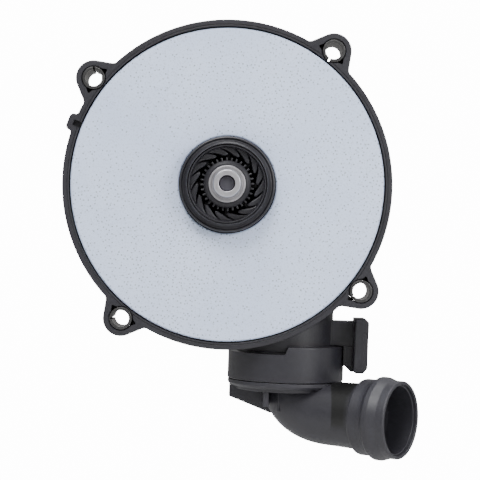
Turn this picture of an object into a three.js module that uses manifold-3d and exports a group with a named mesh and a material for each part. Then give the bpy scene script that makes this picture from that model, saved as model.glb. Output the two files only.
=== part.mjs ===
// Electric secondary-air pump: a flanged round fan housing with an air inlet in its front cover, a brush motor
// behind it, and a hose elbow hanging from the outlet neck.
// Millimetres. The rotor turns about Y, the inlet faces -Y, the motor points to +Y, and the outlet hangs down -Z.
// The origin is on the rotor axis, in the plane of the cover's front rim.

import * as THREE from "three";
import { mergeVertices } from "three/addons/utils/BufferGeometryUtils.js";
import Module from "manifold-3d";

const wasm = await Module();
wasm.setup();

// ---- Driving dimensions ----

const GAP = 0.3; // clearance kept between pieces that touch in real life
const DEG = Math.PI / 180;

// inlet housing (front cover)
const RIM_R = 69.5;
const RIM_DEPTH = 16;
const RIM_BORE_R = 66.6;
const PLATE_Y = 3.7;
const PLATE_THICK = 2.5;
const EAR_COUNT = 4;
const EAR_PITCH_R = 71.9;
const EAR_ANGLE = 53.4; // first ear, degrees from +X towards +Z
const EAR_R = 7.5;
const EAR_DEPTH = 17;
const EAR_ROOT_HALF_ANGLE = 8.4; // where an ear's flanks leave the rim
const TAB_ANGLE = 160.6;
const TAB_R = 72.3;
const TAB_WIDTH = 6.2;
const TAB_DEPTH = 6;
const COLLAR_R = 20.1; // central air collar
const COLLAR_BORE_R = 16.6;
const COLLAR_TOP_Y = -9;
const SEAL_RIB_R = [46, 51]; // rib that presses on the housing seal
const BOSS_R = 4.5;

// filter mat
const MAT_R = 66.2;
const MAT_FRONT_Y = 0.4;

// mounting sleeves
const SLEEVE_R = 4.7;
const SLEEVE_BORE_R = 3.45;
const SLEEVE_SLIT = 0.8;
const SLEEVE_Y = [-0.2, 17.4];
const SLIT_ANGLES = [242, 90, 180, 216]; // one per sleeve, degrees

// fan housing
const FLANGE_R = 66;
const FLANGE_Y = 12;
const FLANGE_THICK = 3;
const SCROLL_START_R = 41.5;
const SCROLL_END_R = 48;
const SCROLL_WALL = 2.5;
const SCROLL_BACK_Y = 46;
const NECK_X = 27.9; // the neck's own vertical axis
const NECK_Y = 27;
const NECK_R = 20.1;
const NECK_BORE_R = 16.5;
const NECK_END_Z = -79;
const SHAFT_HOLE_R = 8;
const HOUSING_SEAL_R = [47.6, 50];
const HOUSING_SEAL_THICK = 1.3;
const OUTLET_SEAL_R = [18.9, NECK_R + 1.6];
const OUTLET_SEAL_Z = [-77.2, -75.3];
const SNAP_RIDGE_R = NECK_R + 1.5;
const SNAP_RIDGE_Z = [-72.3, -70.1];
const RAIL_Y = [12.5, 27.5];
const RAIL_ARM = { x: [42, 58], y: [20, 27], z: [-67.2, -56.6] };
const RAIL_WEB_Y = 21;

// housing screws and motor screws
const SCREW_PITCH_R = 58;
const SCREW_ANGLES = [5, 58, 111, 164, 217, 262];
const MOTOR_SCREW_PITCH_R = 20;
const MOTOR_SCREW_ANGLES = [90, 210, 330];
const SCREW_R = 1.5;
const HOUSING_SCREW_HEAD_R = 3.6;
const MOTOR_SCREW_HEAD_R = 3.4;
const SCREW_HEAD_HEIGHT = 2.4;
const MOTOR_SCREW_TIP_Y = 48.6;

// outlet collar and elbow
const CUP_R = 25.2;
const CUP_WALL = 3.2;
const CUP_Z = [-82.8, -67.6];
const CUP_STEP_Z = -70.9;
const ELBOW_FLANGE_Z = [-85.8, -83.1];
const ELBOW_FLANGE_R = 25;
const ELBOW_YAW = 33; // how far the spigot points from +X towards the inlet side, degrees
const SPIGOT_Z = -96;
const SPIGOT_LENGTH = 57.3; // from the neck's axis to the mouth
const SPIGOT_R = 16.1;
const SPIGOT_START = 39.8; // where the pipe steps up to the spigot
const SPIGOT_BORE_R = 12.9;
const PIPE_R = 13.7; // outside of the bend and of the pipe behind the spigot
const PIPE_BORE_R = 11.9;
const WEB_HALF_THICK = 1.2;
const BEND_R = 15.5; // bend radius of the elbow's centre line
const BEND_START = 8.5; // how far the bend starts from the neck's axis
const BEAD_R = 17.6;
const MOUTH_R = 16.4;

// rotor
const SHAFT_R = 4;
const SHAFT_Y = [-11, 108.8];
const BORE_R = SHAFT_R + GAP;
const IMPELLER_R = 37;
const IMPELLER_PLATE_Y = 30;
const IMPELLER_END_Y = 48.4;
const IMPELLER_BLADES = 14;
const BLADE_ROOT_R = 15;
const BLADE_SWEEP = 32; // degrees from root to tip
const BLADE_HALF_THICK = 0.6;
const VANE_COUNT = 16;
const VANE_R = [12.2, 15.4];
const VANE_SWEEP = 30;
const SPOKE_COUNT = 8;
const WHEEL_RING_R = [15, 16.1];
const HUB_R = 9.9;
const WASHER_R = 7.9;
const WASHER_Y = [-8.8, -7.5];
const NUT_R = 5.8;
const NUT_Y = [-16, WASHER_Y[0] - GAP];
const NUT_BORE_R = 3.4;
const NUT_FLOOR_Y = -12.7;
const HUB_Y = [WASHER_Y[1] + GAP, 5];

// motor
const CAN_R = 31;
const CAN_WALL = 1.6;
const CAN_Y = [49.1, 91];
const CAP_Y = [91.3, 112];
const FRONT_BEARING_Y = [49.4, 56];
const REAR_BEARING_Y = [102.6, 109.2];
const BEARING_R = 10.9;
const INNER_RACE_R = 5.9;
const OUTER_RACE_R = 9.1;
const BALL_COUNT = 7;
const BALL_R = 1.4;
const BALL_PITCH_R = 7.5;
const BEARING_SEAT_R = 13; // outside of the wall round a bearing
const CORE_R = 24.2;
const CORE_Y = [62, 86];
const SLOT_COUNT = 12;
const SLOT_HALF = 1.8;
const SLOT_ROOT_R = 13.5;
const COIL_R = 21.5;
const MAGNET_R = [25.2, CAN_R - CAN_WALL - GAP];
const MAGNET_Y = [60, 88];
const COMMUTATOR_R = 9;
const COMMUTATOR_Y = [91.2, 101];
const RISER_R = 10.2;
const RISER_WIDTH = 1.2;
const BRUSH_SIZE = 6;
const BRUSH_Y = 97; // middle of the brushes along the shaft
const BRUSH_Z = [9.2, 18];
const SPRING_END_Z = 25.2;
const SPRING_TURNS = 4;
const SPRING_R = 2.1;
const WIRE_R = 0.35;
const HOLDER_RING_R = [13.5, 28.6];
const HOLDER_RING_Y = [91.6, 93.2];
const HOLDER_Z = [11, 27];
const HOLDER_WALL = 1;
const SOCKET = {
  x: [-9.5, 9.5],
  y: [94, 107],
  z: [26, 46],
  wall: 2.2,
  floorZ: 33,
};
const LATCH = { x: [-2.5, 2.5], y: [SOCKET.y[1] - 0.5, SOCKET.y[1] + 2], z: [38, 42] };
const PIN_X = 4;
const PIN_SIZE = [2.8, 0.8];

// ---- Materials ----

const materials = {
  housing: { color: 0x2b2b2e, roughness: 0.5, metalness: 0 },
  mat: { color: 0xc4ced6, roughness: 0.95, metalness: 0 },
  steel: { color: 0xb8b6b4, roughness: 0.35, metalness: 1 },
  can: { color: 0x8c8f92, roughness: 0.4, metalness: 1 },
  rubber: { color: 0x151515, roughness: 0.8, metalness: 0 },
  copper: { color: 0xb26a3c, roughness: 0.4, metalness: 1 },
  ferrite: { color: 0x3a3836, roughness: 0.7, metalness: 0 },
  carbon: { color: 0x1c1b1a, roughness: 0.6, metalness: 0 },
  core: { color: 0x6d6f72, roughness: 0.5, metalness: 1 },
};

// ---- Solids from three.js geometries ----

// A closed geometry as a solid that can be joined and cut. Triangles that collapse at a pole are dropped.
function toSolid(geometry) {
  const bare = geometry.clone();
  bare.deleteAttribute("normal");
  bare.deleteAttribute("uv");
  const merged = mergeVertices(bare, 1e-4);
  const kept = [];
  for (let i = 0; i < merged.index.count; i += 3) {
    const [a, b, c] = [0, 1, 2].map((k) => merged.index.getX(i + k));
    if (a !== b && b !== c && c !== a) kept.push(a, b, c);
  }
  return new wasm.Manifold(
    new wasm.Mesh({
      numProp: 3,
      vertProperties: merged.attributes.position.array,
      triVerts: new Uint32Array(kept),
    }),
  );
}

function toGeometry(solid) {
  const mesh = solid.getMesh();
  const geometry = new THREE.BufferGeometry();
  geometry.setAttribute(
    "position",
    new THREE.BufferAttribute(mesh.vertProperties, 3),
  );
  geometry.setIndex(new THREE.BufferAttribute(mesh.triVerts, 1));
  geometry.computeVertexNormals();
  return geometry;
}

const join = (...solids) => solids.reduce((all, one) => all.add(one));
const cut = (solid, ...tools) =>
  tools.reduce((rest, tool) => rest.subtract(tool), solid);

// The closed outline [[r, y], ...] turned about Y. The outline may be listed either way round.
function lathe(outline, segments = 28) {
  const points = outline.map(([r, y]) => new THREE.Vector2(r, y));
  if (THREE.ShapeUtils.area(points) < 0) points.reverse();
  points.push(points[0].clone());
  return new THREE.LatheGeometry(points, segments);
}

// A plain ring, or a disc when the inner radius is 0, from y0 to y1 along Y.
function ring(inner, outer, y0, y1, segments = 28) {
  const outline = [
    [inner, y0],
    [outer, y0],
    [outer, y1],
    [inner, y1],
  ];
  return toSolid(lathe(outline, segments));
}

// The same ring standing on Z, with its axis through the outlet neck.
function neckRing(inner, outer, z0, z1, segments = 36) {
  const outline = [
    [inner, z0],
    [outer, z0],
    [outer, z1],
    [inner, z1],
  ];
  const geometry = lathe(outline, segments)
    .rotateX(90 * DEG)
    .translate(NECK_X, NECK_Y, 0);
  return toSolid(geometry);
}

// A flat outline in X and Z, made thick along Y from y0 to y1.
function prism(shape, y0, y1, curveSegments = 12) {
  const geometry = new THREE.ExtrudeGeometry(shape, {
    depth: y1 - y0,
    bevelEnabled: false,
    curveSegments,
  });
  return toSolid(geometry.rotateX(90 * DEG).translate(0, y1, 0));
}

function polygon(points) {
  return new THREE.Shape(points.map(([x, z]) => new THREE.Vector2(x, z)));
}

function box(x, y, z) {
  const geometry = new THREE.BoxGeometry(x[1] - x[0], y[1] - y[0], z[1] - z[0]);
  const middle = [x, y, z].map(([low, high]) => (low + high) / 2);
  return toSolid(geometry.translate(...middle));
}

// A round bar along Y, centred at radius r and angle (degrees) from the rotor axis.
function barAt(r, angle, radius, y0, y1, segments = 12) {
  const outline = [
    [0, y0],
    [radius, y0],
    [radius, y1],
    [0, y1],
  ];
  const x = r * Math.cos(angle * DEG);
  const z = r * Math.sin(angle * DEG);
  return toSolid(lathe(outline, segments).translate(x, 0, z));
}

const polar = (r, angle) => [
  r * Math.cos(angle * DEG),
  r * Math.sin(angle * DEG),
];

const earAngles = [...Array(EAR_COUNT).keys()].map(
  (i) => EAR_ANGLE + (i * 360) / EAR_COUNT,
);

// ---- Group and placing ----

const pump = new THREE.Group();
pump.name = "secondary_air_pump";

function place(name, solid, finish) {
  const mesh = new THREE.Mesh(
    toGeometry(solid),
    new THREE.MeshStandardMaterial(materials[finish]),
  );
  mesh.name = name;
  pump.add(mesh);
}

// ---- Inlet housing: rim, plate, ears, tab, screw bosses and the central air collar ----

// The outline of one ear: two straight flanks that run off the rim on to a round eye.
function earShape(angle) {
  const [footX, footZ] = [
    RIM_R * Math.sin(EAR_ROOT_HALF_ANGLE * DEG),
    RIM_R * Math.cos(EAR_ROOT_HALF_ANGLE * DEG),
  ];
  const reach = Math.hypot(footX, footZ - EAR_PITCH_R);
  const touch =
    Math.acos(EAR_R / reach) + Math.atan2(footZ - EAR_PITCH_R, footX);
  const shape = new THREE.Shape();
  const inside = RIM_BORE_R + 1.5;
  shape.moveTo(-footX, inside);
  shape.lineTo(footX, inside);
  shape.lineTo(footX, footZ);
  shape.absarc(0, EAR_PITCH_R, EAR_R, touch, Math.PI - touch, false);
  shape.lineTo(-footX, footZ);
  const turned = shape.getPoints(6).map((p) => {
    p.rotateAround(new THREE.Vector2(), (angle - 90) * DEG);
    return [p.x, p.y];
  });
  return polygon(turned);
}

function inletHousing() {
  const rimBack = PLATE_Y + PLATE_THICK;
  const dish = lathe(
    [
      [COLLAR_BORE_R, rimBack],
      [COLLAR_BORE_R, COLLAR_TOP_Y],
      [COLLAR_BORE_R + 1.2, COLLAR_TOP_Y],
      [COLLAR_R - 0.8, COLLAR_TOP_Y + 4.5],
      [COLLAR_R, COLLAR_TOP_Y + 7],
      [COLLAR_R, PLATE_Y],
      [RIM_BORE_R, PLATE_Y],
      [RIM_BORE_R, 0],
      [RIM_R, 0],
      [RIM_R, RIM_DEPTH],
      [RIM_BORE_R, RIM_DEPTH],
      [RIM_BORE_R, rimBack],
    ],
    64,
  );
  let body = toSolid(dish);
  const sealRib = ring(...SEAL_RIB_R, rimBack - 0.5, FLANGE_Y - GAP, 36);
  body = join(body, sealRib);
  for (const angle of SCREW_ANGLES) {
    const boss = barAt(SCREW_PITCH_R, angle, BOSS_R, rimBack - 0.5, FLANGE_Y - GAP);
    const hole = barAt(SCREW_PITCH_R, angle, SCREW_R + GAP, rimBack + 0.5, RIM_DEPTH);
    body = cut(join(body, boss), hole);
  }
  for (const angle of earAngles) {
    const ear = prism(earShape(angle), 0, EAR_DEPTH);
    const eye = barAt(EAR_PITCH_R, angle, SLEEVE_R + GAP, -1, EAR_DEPTH + 1, 20);
    body = cut(join(body, ear), eye);
  }
  const tab = box(
    [RIM_BORE_R + 1, TAB_R],
    [0, TAB_DEPTH],
    [-TAB_WIDTH / 2, TAB_WIDTH / 2],
  );
  const tabSlot = box([TAB_R - 3, TAB_R - 0.9], [-1, 3], [-1.5, 1.5]);
  const turnedTab = cut(tab, tabSlot).rotate([0, -TAB_ANGLE, 0]);
  const neckRoom = neckRing(0, NECK_R + 0.4, NECK_END_Z, -20);
  return cut(join(body, turnedTab), neckRoom);
}

place("inlet_housing", inletHousing(), "housing");

// ---- Filter mat ----

place(
  "filter_mat",
  ring(COLLAR_R + GAP, MAT_R, MAT_FRONT_Y, PLATE_Y - GAP, 64),
  "mat",
);

// ---- Mounting sleeves: rolled steel with an open slit ----

earAngles.forEach((angle, i) => {
  const [x, z] = polar(EAR_PITCH_R, angle);
  const tube = ring(SLEEVE_BORE_R, SLEEVE_R, SLEEVE_Y[0], SLEEVE_Y[1], 20);
  const slit = box(
    [0, SLEEVE_R + 1],
    [SLEEVE_Y[0] - 1, SLEEVE_Y[1] + 1],
    [-SLEEVE_SLIT / 2, SLEEVE_SLIT / 2],
  ).rotate([0, -SLIT_ANGLES[i], 0]);
  place(
    "mount_sleeve_" + (i + 1),
    cut(tube, slit).translate([x, 0, z]),
    "steel",
  );
});

// ---- Fan housing: flange, scroll, outlet neck and the holder rail beside it ----

// The scroll's outline, inset by the given wall. Its radius grows clockwise, seen from the inlet, from the
// cut-off beside the neck to the neck's outer side.
function scrollShape(inset) {
  const points = [];
  const turn = 260;
  const steps = 28;
  for (let i = 0; i <= steps; i += 1) {
    const share = i / steps;
    const r = SCROLL_START_R + (SCROLL_END_R - SCROLL_START_R) * share - inset;
    points.push(polar(r, -100 - turn * share));
  }
  points.push([SCROLL_END_R - inset, -38]);
  points.push([NECK_X - NECK_R + inset, -38]);
  return polygon(points);
}

// The rail is a short arm with an upright head bar, a slide-on seat for a cable connector. A thinner web
// stands behind the bar and reaches further towards the neck.
function holderRail() {
  const arm = box(RAIL_ARM.x, RAIL_ARM.y, RAIL_ARM.z);
  const bar = polygon([
    [56.6, -55],
    [61.2, -55],
    [62.7, -56.5],
    [62.7, -76.4],
    [60.6, -78.5],
    [57.4, -78.5],
    [56.6, -77.7],
  ]);
  const web = polygon([
    [53.7, -57],
    [58, -57],
    [58, -78.5],
    [55.8, -78.5],
    [53.7, -76.2],
  ]);
  return join(arm, prism(bar, ...RAIL_Y), prism(web, RAIL_WEB_Y, RAIL_Y[1] - 0.2));
}

function fanHousing() {
  const flange = ring(30, FLANGE_R, FLANGE_Y, FLANGE_Y + FLANGE_THICK, 48);
  const shell = prism(scrollShape(0), FLANGE_Y, SCROLL_BACK_Y);
  const neck = neckRing(0, NECK_R, NECK_END_Z, -30);
  const chamber = prism(
    scrollShape(SCROLL_WALL),
    FLANGE_Y - 8,
    SCROLL_BACK_Y - SCROLL_WALL,
  );
  const duct = neckRing(0, NECK_BORE_R, NECK_END_Z - 1, -34);
  const groove = ring(47.2, 50.4, FLANGE_Y - 1, FLANGE_Y + 1.6, 36);
  const shaftHole = ring(0, SHAFT_HOLE_R, 40, 50);
  const sealSeat = neckRing(
    OUTLET_SEAL_R[0] - GAP,
    NECK_R + 1,
    OUTLET_SEAL_Z[0] - GAP,
    OUTLET_SEAL_Z[1] + GAP,
  );
  const snapRidge = neckRing(NECK_R - 1, SNAP_RIDGE_R, ...SNAP_RIDGE_Z);
  let body = join(flange, shell, neck, snapRidge, holderRail());
  body = cut(body, chamber, duct, groove, shaftHole, sealSeat);
  for (const angle of SCREW_ANGLES) {
    body = cut(body, barAt(SCREW_PITCH_R, angle, SCREW_R + 0.5, 10, 17));
  }
  for (const angle of MOTOR_SCREW_ANGLES) {
    body = cut(body, barAt(MOTOR_SCREW_PITCH_R, angle, SCREW_R + 0.4, 40, 50));
  }
  return body;
}

place("fan_housing", fanHousing(), "housing");
place(
  "housing_seal",
  ring(...HOUSING_SEAL_R, FLANGE_Y, FLANGE_Y + HOUSING_SEAL_THICK, 36),
  "rubber",
);
place("outlet_seal", neckRing(...OUTLET_SEAL_R, ...OUTLET_SEAL_Z), "rubber");

// ---- Screws ----

function panScrew(headR, headY, tipY) {
  const height = Math.sign(tipY - headY) * SCREW_HEAD_HEIGHT;
  return lathe(
    [
      [0, headY - height],
      [headR * 0.8, headY - height],
      [headR, headY - height / 2],
      [headR, headY],
      [SCREW_R, headY],
      [SCREW_R, tipY],
      [0, tipY],
    ],
    12,
  );
}

SCREW_ANGLES.forEach((angle, i) => {
  const [x, z] = polar(SCREW_PITCH_R, angle);
  const back = FLANGE_Y + FLANGE_THICK + GAP;
  const screw = panScrew(HOUSING_SCREW_HEAD_R, back, PLATE_Y + PLATE_THICK + 1);
  place("housing_screw_" + (i + 1), toSolid(screw.translate(x, 0, z)), "steel");
});

MOTOR_SCREW_ANGLES.forEach((angle, i) => {
  const [x, z] = polar(MOTOR_SCREW_PITCH_R, angle);
  const seat = SCROLL_BACK_Y - SCROLL_WALL - GAP;
  const screw = panScrew(MOTOR_SCREW_HEAD_R, seat, MOTOR_SCREW_TIP_Y);
  place("motor_screw_" + (i + 1), toSolid(screw.translate(x, 0, z)), "steel");
});

// ---- Outlet collar: a cup over the neck's end, lower over the half that faces the inlet and left ----

function outletCollar() {
  const wall = neckRing(CUP_R - CUP_WALL, CUP_R, CUP_Z[0], CUP_Z[1], 44);
  const foot = neckRing(NECK_R - 0.6, CUP_R - 1, CUP_Z[0], CUP_Z[0] + 2.4, 44);
  const lip = neckRing(NECK_R + 0.4, CUP_R - 1, CUP_Z[1] - 2.2, CUP_Z[1], 44);
  const lowSide = box(
    [NECK_X - 40, NECK_X + 0.3],
    [NECK_Y - 40, NECK_Y + 40],
    [CUP_STEP_Z, CUP_Z[1] + 1],
  );
  return cut(join(wall, foot, lip), lowSide);
}

place("outlet_collar", outletCollar(), "housing");

// ---- Outlet elbow: flange, gussets, bend and beaded spigot ----

// The elbow is drawn along +X and then turned about the neck's axis. The bend's centre line drops out of the
// flange and swings into the spigot's level.
function elbowPath(start, end) {
  const points = [];
  points.push(new THREE.Vector3(BEND_START, 0, SPIGOT_Z + BEND_R + start));
  for (let i = 0; i <= 6; i += 1) {
    const a = (i / 6) * 90 * DEG;
    points.push(
      new THREE.Vector3(
        BEND_START + BEND_R * (1 - Math.cos(a)),
        0,
        SPIGOT_Z + BEND_R * (1 - Math.sin(a)),
      ),
    );
  }
  points.push(new THREE.Vector3(end, 0, SPIGOT_Z));
  return new THREE.CatmullRomCurve3(points, false, "centripetal");
}

function bentBar(radius, start, end) {
  const section = new THREE.Shape();
  section.absarc(0, 0, radius, 0, 2 * Math.PI, false);
  const geometry = new THREE.ExtrudeGeometry(section, {
    extrudePath: elbowPath(start, end),
    steps: 10,
    curveSegments: 14,
  });
  return toSolid(geometry);
}

// A profile of [distance from the neck's axis, radius], turned about the spigot's axis.
function spigotSolid(profile, segments = 28) {
  const outline = profile.map(([along, r]) => [r, along]);
  const geometry = lathe(outline, segments)
    .rotateZ(-90 * DEG)
    .translate(0, 0, SPIGOT_Z);
  return toSolid(geometry);
}

function outletElbow() {
  const [flangeLow, flangeHigh] = ELBOW_FLANGE_Z;
  const flange = ring(0, ELBOW_FLANGE_R, flangeLow, flangeHigh, 44).rotate([
    90, 0, 0,
  ]);
  const bend = bentBar(PIPE_R, 4, 30);
  const spigot = spigotSolid([
    [26, 0],
    [26, PIPE_R - 0.1],
    [SPIGOT_START, PIPE_R + 0.4],
    [SPIGOT_START, SPIGOT_R - 0.3],
    [SPIGOT_START + 0.4, SPIGOT_R],
    [45.6, SPIGOT_R],
    [47.6, BEAD_R],
    [49.8, BEAD_R],
    [53.2, MOUTH_R],
    [SPIGOT_LENGTH, MOUTH_R],
    [SPIGOT_LENGTH, 0],
  ]);
  const underCup = box([-40, CUP_R + 0.4], [-40, 40], [flangeHigh - 1, -40]);
  let body = join(cut(bend, underCup), flange, spigot);
  // a flat web under the flange and down the bend, which runs along X whatever way the spigot points
  const web = polygon([
    [-24.5, flangeHigh - 1],
    [-24.5, -91.4],
    [-6.5, -98],
    [1.6, -102.8],
    [6, -102.8],
    [6, flangeHigh - 1],
  ]);
  const flatWeb = prism(web, -WEB_HALF_THICK, WEB_HALF_THICK);
  body = join(body, flatWeb.rotate([0, 0, ELBOW_YAW]));
  const channel = bentBar(PIPE_BORE_R, 8, 45);
  const spigotBore = spigotSolid([
    [24, 0],
    [24, PIPE_BORE_R],
    [SPIGOT_START - 2, PIPE_BORE_R],
    [SPIGOT_START, SPIGOT_BORE_R],
    [SPIGOT_LENGTH - 4, SPIGOT_BORE_R],
    [SPIGOT_LENGTH - 3, SPIGOT_BORE_R + 1.4],
    [SPIGOT_LENGTH + 1, SPIGOT_BORE_R + 1.4],
    [SPIGOT_LENGTH + 1, 0],
  ]);
  body = cut(body, channel, spigotBore);
  return body.rotate([0, 0, -ELBOW_YAW]).translate([NECK_X, NECK_Y, 0]);
}

place("outlet_elbow", outletElbow(), "housing");

// ---- Rotor: nut, washer, separator wheel, impeller, shaft ----

place("motor_shaft", ring(0, SHAFT_R, SHAFT_Y[0], SHAFT_Y[1], 24), "steel");
place("rotor_washer", ring(BORE_R, WASHER_R, ...WASHER_Y), "steel");
place(
  "rotor_nut",
  toSolid(
    lathe(
      [
        [0, NUT_FLOOR_Y],
        [NUT_BORE_R, NUT_FLOOR_Y],
        [NUT_BORE_R, NUT_Y[0]],
        [NUT_R - 0.4, NUT_Y[0]],
        [NUT_R, NUT_Y[0] + 0.4],
        [NUT_R, NUT_Y[1]],
        [BORE_R, NUT_Y[1]],
        [BORE_R, SHAFT_Y[0] - GAP],
        [0, SHAFT_Y[0] - GAP],
      ],
      28,
    ),
  ),
  "steel",
);

// One vane of the separator wheel: a blunt inner tip that widens and sweeps back into the wheel's ring.
function vaneShape(angle) {
  const inside = [];
  const outside = [];
  const steps = 3;
  for (let i = 0; i <= steps; i += 1) {
    const share = i / steps;
    const r = VANE_R[0] + (VANE_R[1] - VANE_R[0]) * share;
    const halfWidth = 4 + 5 * share;
    const middle = angle + VANE_SWEEP * share * share;
    inside.push(polar(r, middle - halfWidth));
    outside.unshift(polar(r, middle + halfWidth));
  }
  return polygon([...inside, ...outside]);
}

function separatorWheel() {
  const hub = ring(BORE_R, HUB_R, HUB_Y[0], HUB_Y[1]);
  let wheel = join(hub, ring(...WHEEL_RING_R, -5.5, HUB_Y[1]));
  for (let i = 0; i < VANE_COUNT; i += 1) {
    const angle = (i * 360) / VANE_COUNT;
    wheel = join(wheel, prism(vaneShape(angle), -5, HUB_Y[1] - 0.5));
  }
  for (let i = 0; i < SPOKE_COUNT; i += 1) {
    const spoke = box([8, 15.5], [2.5, HUB_Y[1]], [-0.9, 0.9]);
    wheel = join(wheel, spoke.rotate([0, (i * 360) / SPOKE_COUNT, 0]));
  }
  return wheel;
}

place("separator_wheel", separatorWheel(), "housing");

// One impeller blade, a thin plate that leans back from its root to its tip.
function bladeShape(angle) {
  const near = [];
  const far = [];
  const steps = 4;
  for (let i = 0; i <= steps; i += 1) {
    const share = i / steps;
    const r = BLADE_ROOT_R + (IMPELLER_R - BLADE_ROOT_R) * share;
    const middle = angle + BLADE_SWEEP * share;
    const halfWidth = BLADE_HALF_THICK / r / DEG;
    near.push(polar(r, middle - halfWidth));
    far.unshift(polar(r, middle + halfWidth));
  }
  return polygon([...near, ...far]);
}

function impeller() {
  let wheel = toSolid(
    lathe([
      [BORE_R, HUB_Y[1] + GAP],
      [8, HUB_Y[1] + GAP],
      [10, 18],
      [16, IMPELLER_PLATE_Y],
      [IMPELLER_R, IMPELLER_PLATE_Y],
      [IMPELLER_R, IMPELLER_PLATE_Y + 2],
      [10, IMPELLER_PLATE_Y + 2],
      [8, 40],
      [6.5, IMPELLER_END_Y],
      [BORE_R, IMPELLER_END_Y],
    ]),
  );
  for (let i = 0; i < IMPELLER_BLADES; i += 1) {
    const angle = (i * 360) / IMPELLER_BLADES;
    wheel = join(wheel, prism(bladeShape(angle), 8, IMPELLER_PLATE_Y + 1));
  }
  return wheel;
}

place("impeller", impeller(), "housing");

// ---- Bearings: each an inner ring, an outer ring, and a cage with its balls ----

function ballCage(y0, y1) {
  const middle = (y0 + y1) / 2;
  let cage = ring(BALL_PITCH_R - 0.6, BALL_PITCH_R + 0.6, middle - 0.8, middle + 0.8, 20);
  for (let i = 0; i < BALL_COUNT; i += 1) {
    const [x, z] = polar(BALL_PITCH_R, (i * 360) / BALL_COUNT);
    const ball = new THREE.IcosahedronGeometry(BALL_R, 0).translate(x, middle, z);
    cage = join(cage, toSolid(ball));
  }
  return cage;
}

for (const [end, [y0, y1]] of [
  ["front", FRONT_BEARING_Y],
  ["rear", REAR_BEARING_Y],
]) {
  place(end + "_bearing_inner_ring", ring(BORE_R, INNER_RACE_R, y0, y1, 24), "steel");
  place(end + "_bearing_outer_ring", ring(OUTER_RACE_R, BEARING_R, y0, y1, 28), "steel");
  place(end + "_ball_cage", ballCage(y0, y1), "steel");
}

// ---- Armature ----

function slotBox(halfWidth, inner, outer, y0, y1, i) {
  const bar = box([inner, outer], [y0, y1], [-halfWidth, halfWidth]);
  return bar.rotate([0, (i * 360) / SLOT_COUNT, 0]);
}

function armatureCore() {
  let core = ring(BORE_R, CORE_R, CORE_Y[0], CORE_Y[1], 36);
  for (let i = 0; i < SLOT_COUNT; i += 1) {
    core = cut(
      core,
      slotBox(SLOT_HALF, SLOT_ROOT_R, CORE_R + 1, CORE_Y[0] - 1, CORE_Y[1] + 1, i),
    );
  }
  return core;
}

function armatureWinding() {
  const front = ring(9, COIL_R, CORE_Y[0] - 5, CORE_Y[0] - GAP, 28);
  const rear = ring(10.5, COIL_R, CORE_Y[1] + GAP, CORE_Y[1] + 4.6, 28);
  let winding = join(front, rear);
  for (let i = 0; i < SLOT_COUNT; i += 1) {
    winding = join(
      winding,
      slotBox(SLOT_HALF - GAP, 14, 21, CORE_Y[0] - 1, CORE_Y[1] + 1, i),
    );
  }
  return winding;
}

place("armature_core", armatureCore(), "core");
place("armature_winding", armatureWinding(), "copper");
place(
  "commutator",
  toSolid(
    lathe(
      [
        [BORE_R, COMMUTATOR_Y[0]],
        [RISER_R, COMMUTATOR_Y[0]],
        [RISER_R, COMMUTATOR_Y[0] + RISER_WIDTH],
        [COMMUTATOR_R, COMMUTATOR_Y[0] + RISER_WIDTH],
        [COMMUTATOR_R, COMMUTATOR_Y[1]],
        [BORE_R, COMMUTATOR_Y[1]],
      ],
      28,
    ),
  ),
  "copper",
);

// ---- Motor casing ----

place(
  "motor_can",
  toSolid(
    lathe(
      [
        [27, CAN_Y[0]],
        [CAN_R, CAN_Y[0]],
        [CAN_R, CAN_Y[1]],
        [CAN_R - CAN_WALL, CAN_Y[1]],
        [CAN_R - CAN_WALL, CAN_Y[0] + CAN_WALL],
        [27, CAN_Y[0] + CAN_WALL],
      ],
      44,
    ),
  ),
  "can",
);

function frontEndPlate() {
  const y0 = SCROLL_BACK_Y + GAP;
  let plate = toSolid(
    lathe(
      [
        [SHAFT_HOLE_R, y0],
        [CAN_R, y0],
        [CAN_R, CAN_Y[0] - GAP],
        [BEARING_SEAT_R, CAN_Y[0] - GAP],
        [BEARING_SEAT_R, FRONT_BEARING_Y[1]],
        [BEARING_R + GAP, FRONT_BEARING_Y[1]],
        [BEARING_R + GAP, FRONT_BEARING_Y[0] - GAP],
        [SHAFT_HOLE_R, FRONT_BEARING_Y[0] - GAP],
      ],
      40,
    ),
  );
  for (const angle of MOTOR_SCREW_ANGLES) {
    const hole = barAt(MOTOR_SCREW_PITCH_R, angle, SCREW_R + GAP, y0 - 1, CAN_Y[0] + 1);
    plate = cut(plate, hole);
  }
  return plate;
}

place("front_end_plate", frontEndPlate(), "can");

// A magnet is an arc of a ring: the ring cut by two slanting planes.
function magnet(side) {
  const halfArc = 68;
  const full = ring(MAGNET_R[0], MAGNET_R[1], MAGNET_Y[0], MAGNET_Y[1], 40);
  const reach = 60;
  const wedge = polygon([
    [0, 0],
    polar(reach, -halfArc),
    [reach, 0],
    polar(reach, halfArc),
  ]);
  const sector = prism(wedge, MAGNET_Y[0] - 1, MAGNET_Y[1] + 1);
  return full.intersect(side > 0 ? sector : sector.rotate([0, 180, 0]));
}

place("magnet_right", magnet(1), "ferrite");
place("magnet_left", magnet(-1), "ferrite");

// ---- Rear end cap with the connector socket, and its two pins ----

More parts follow.
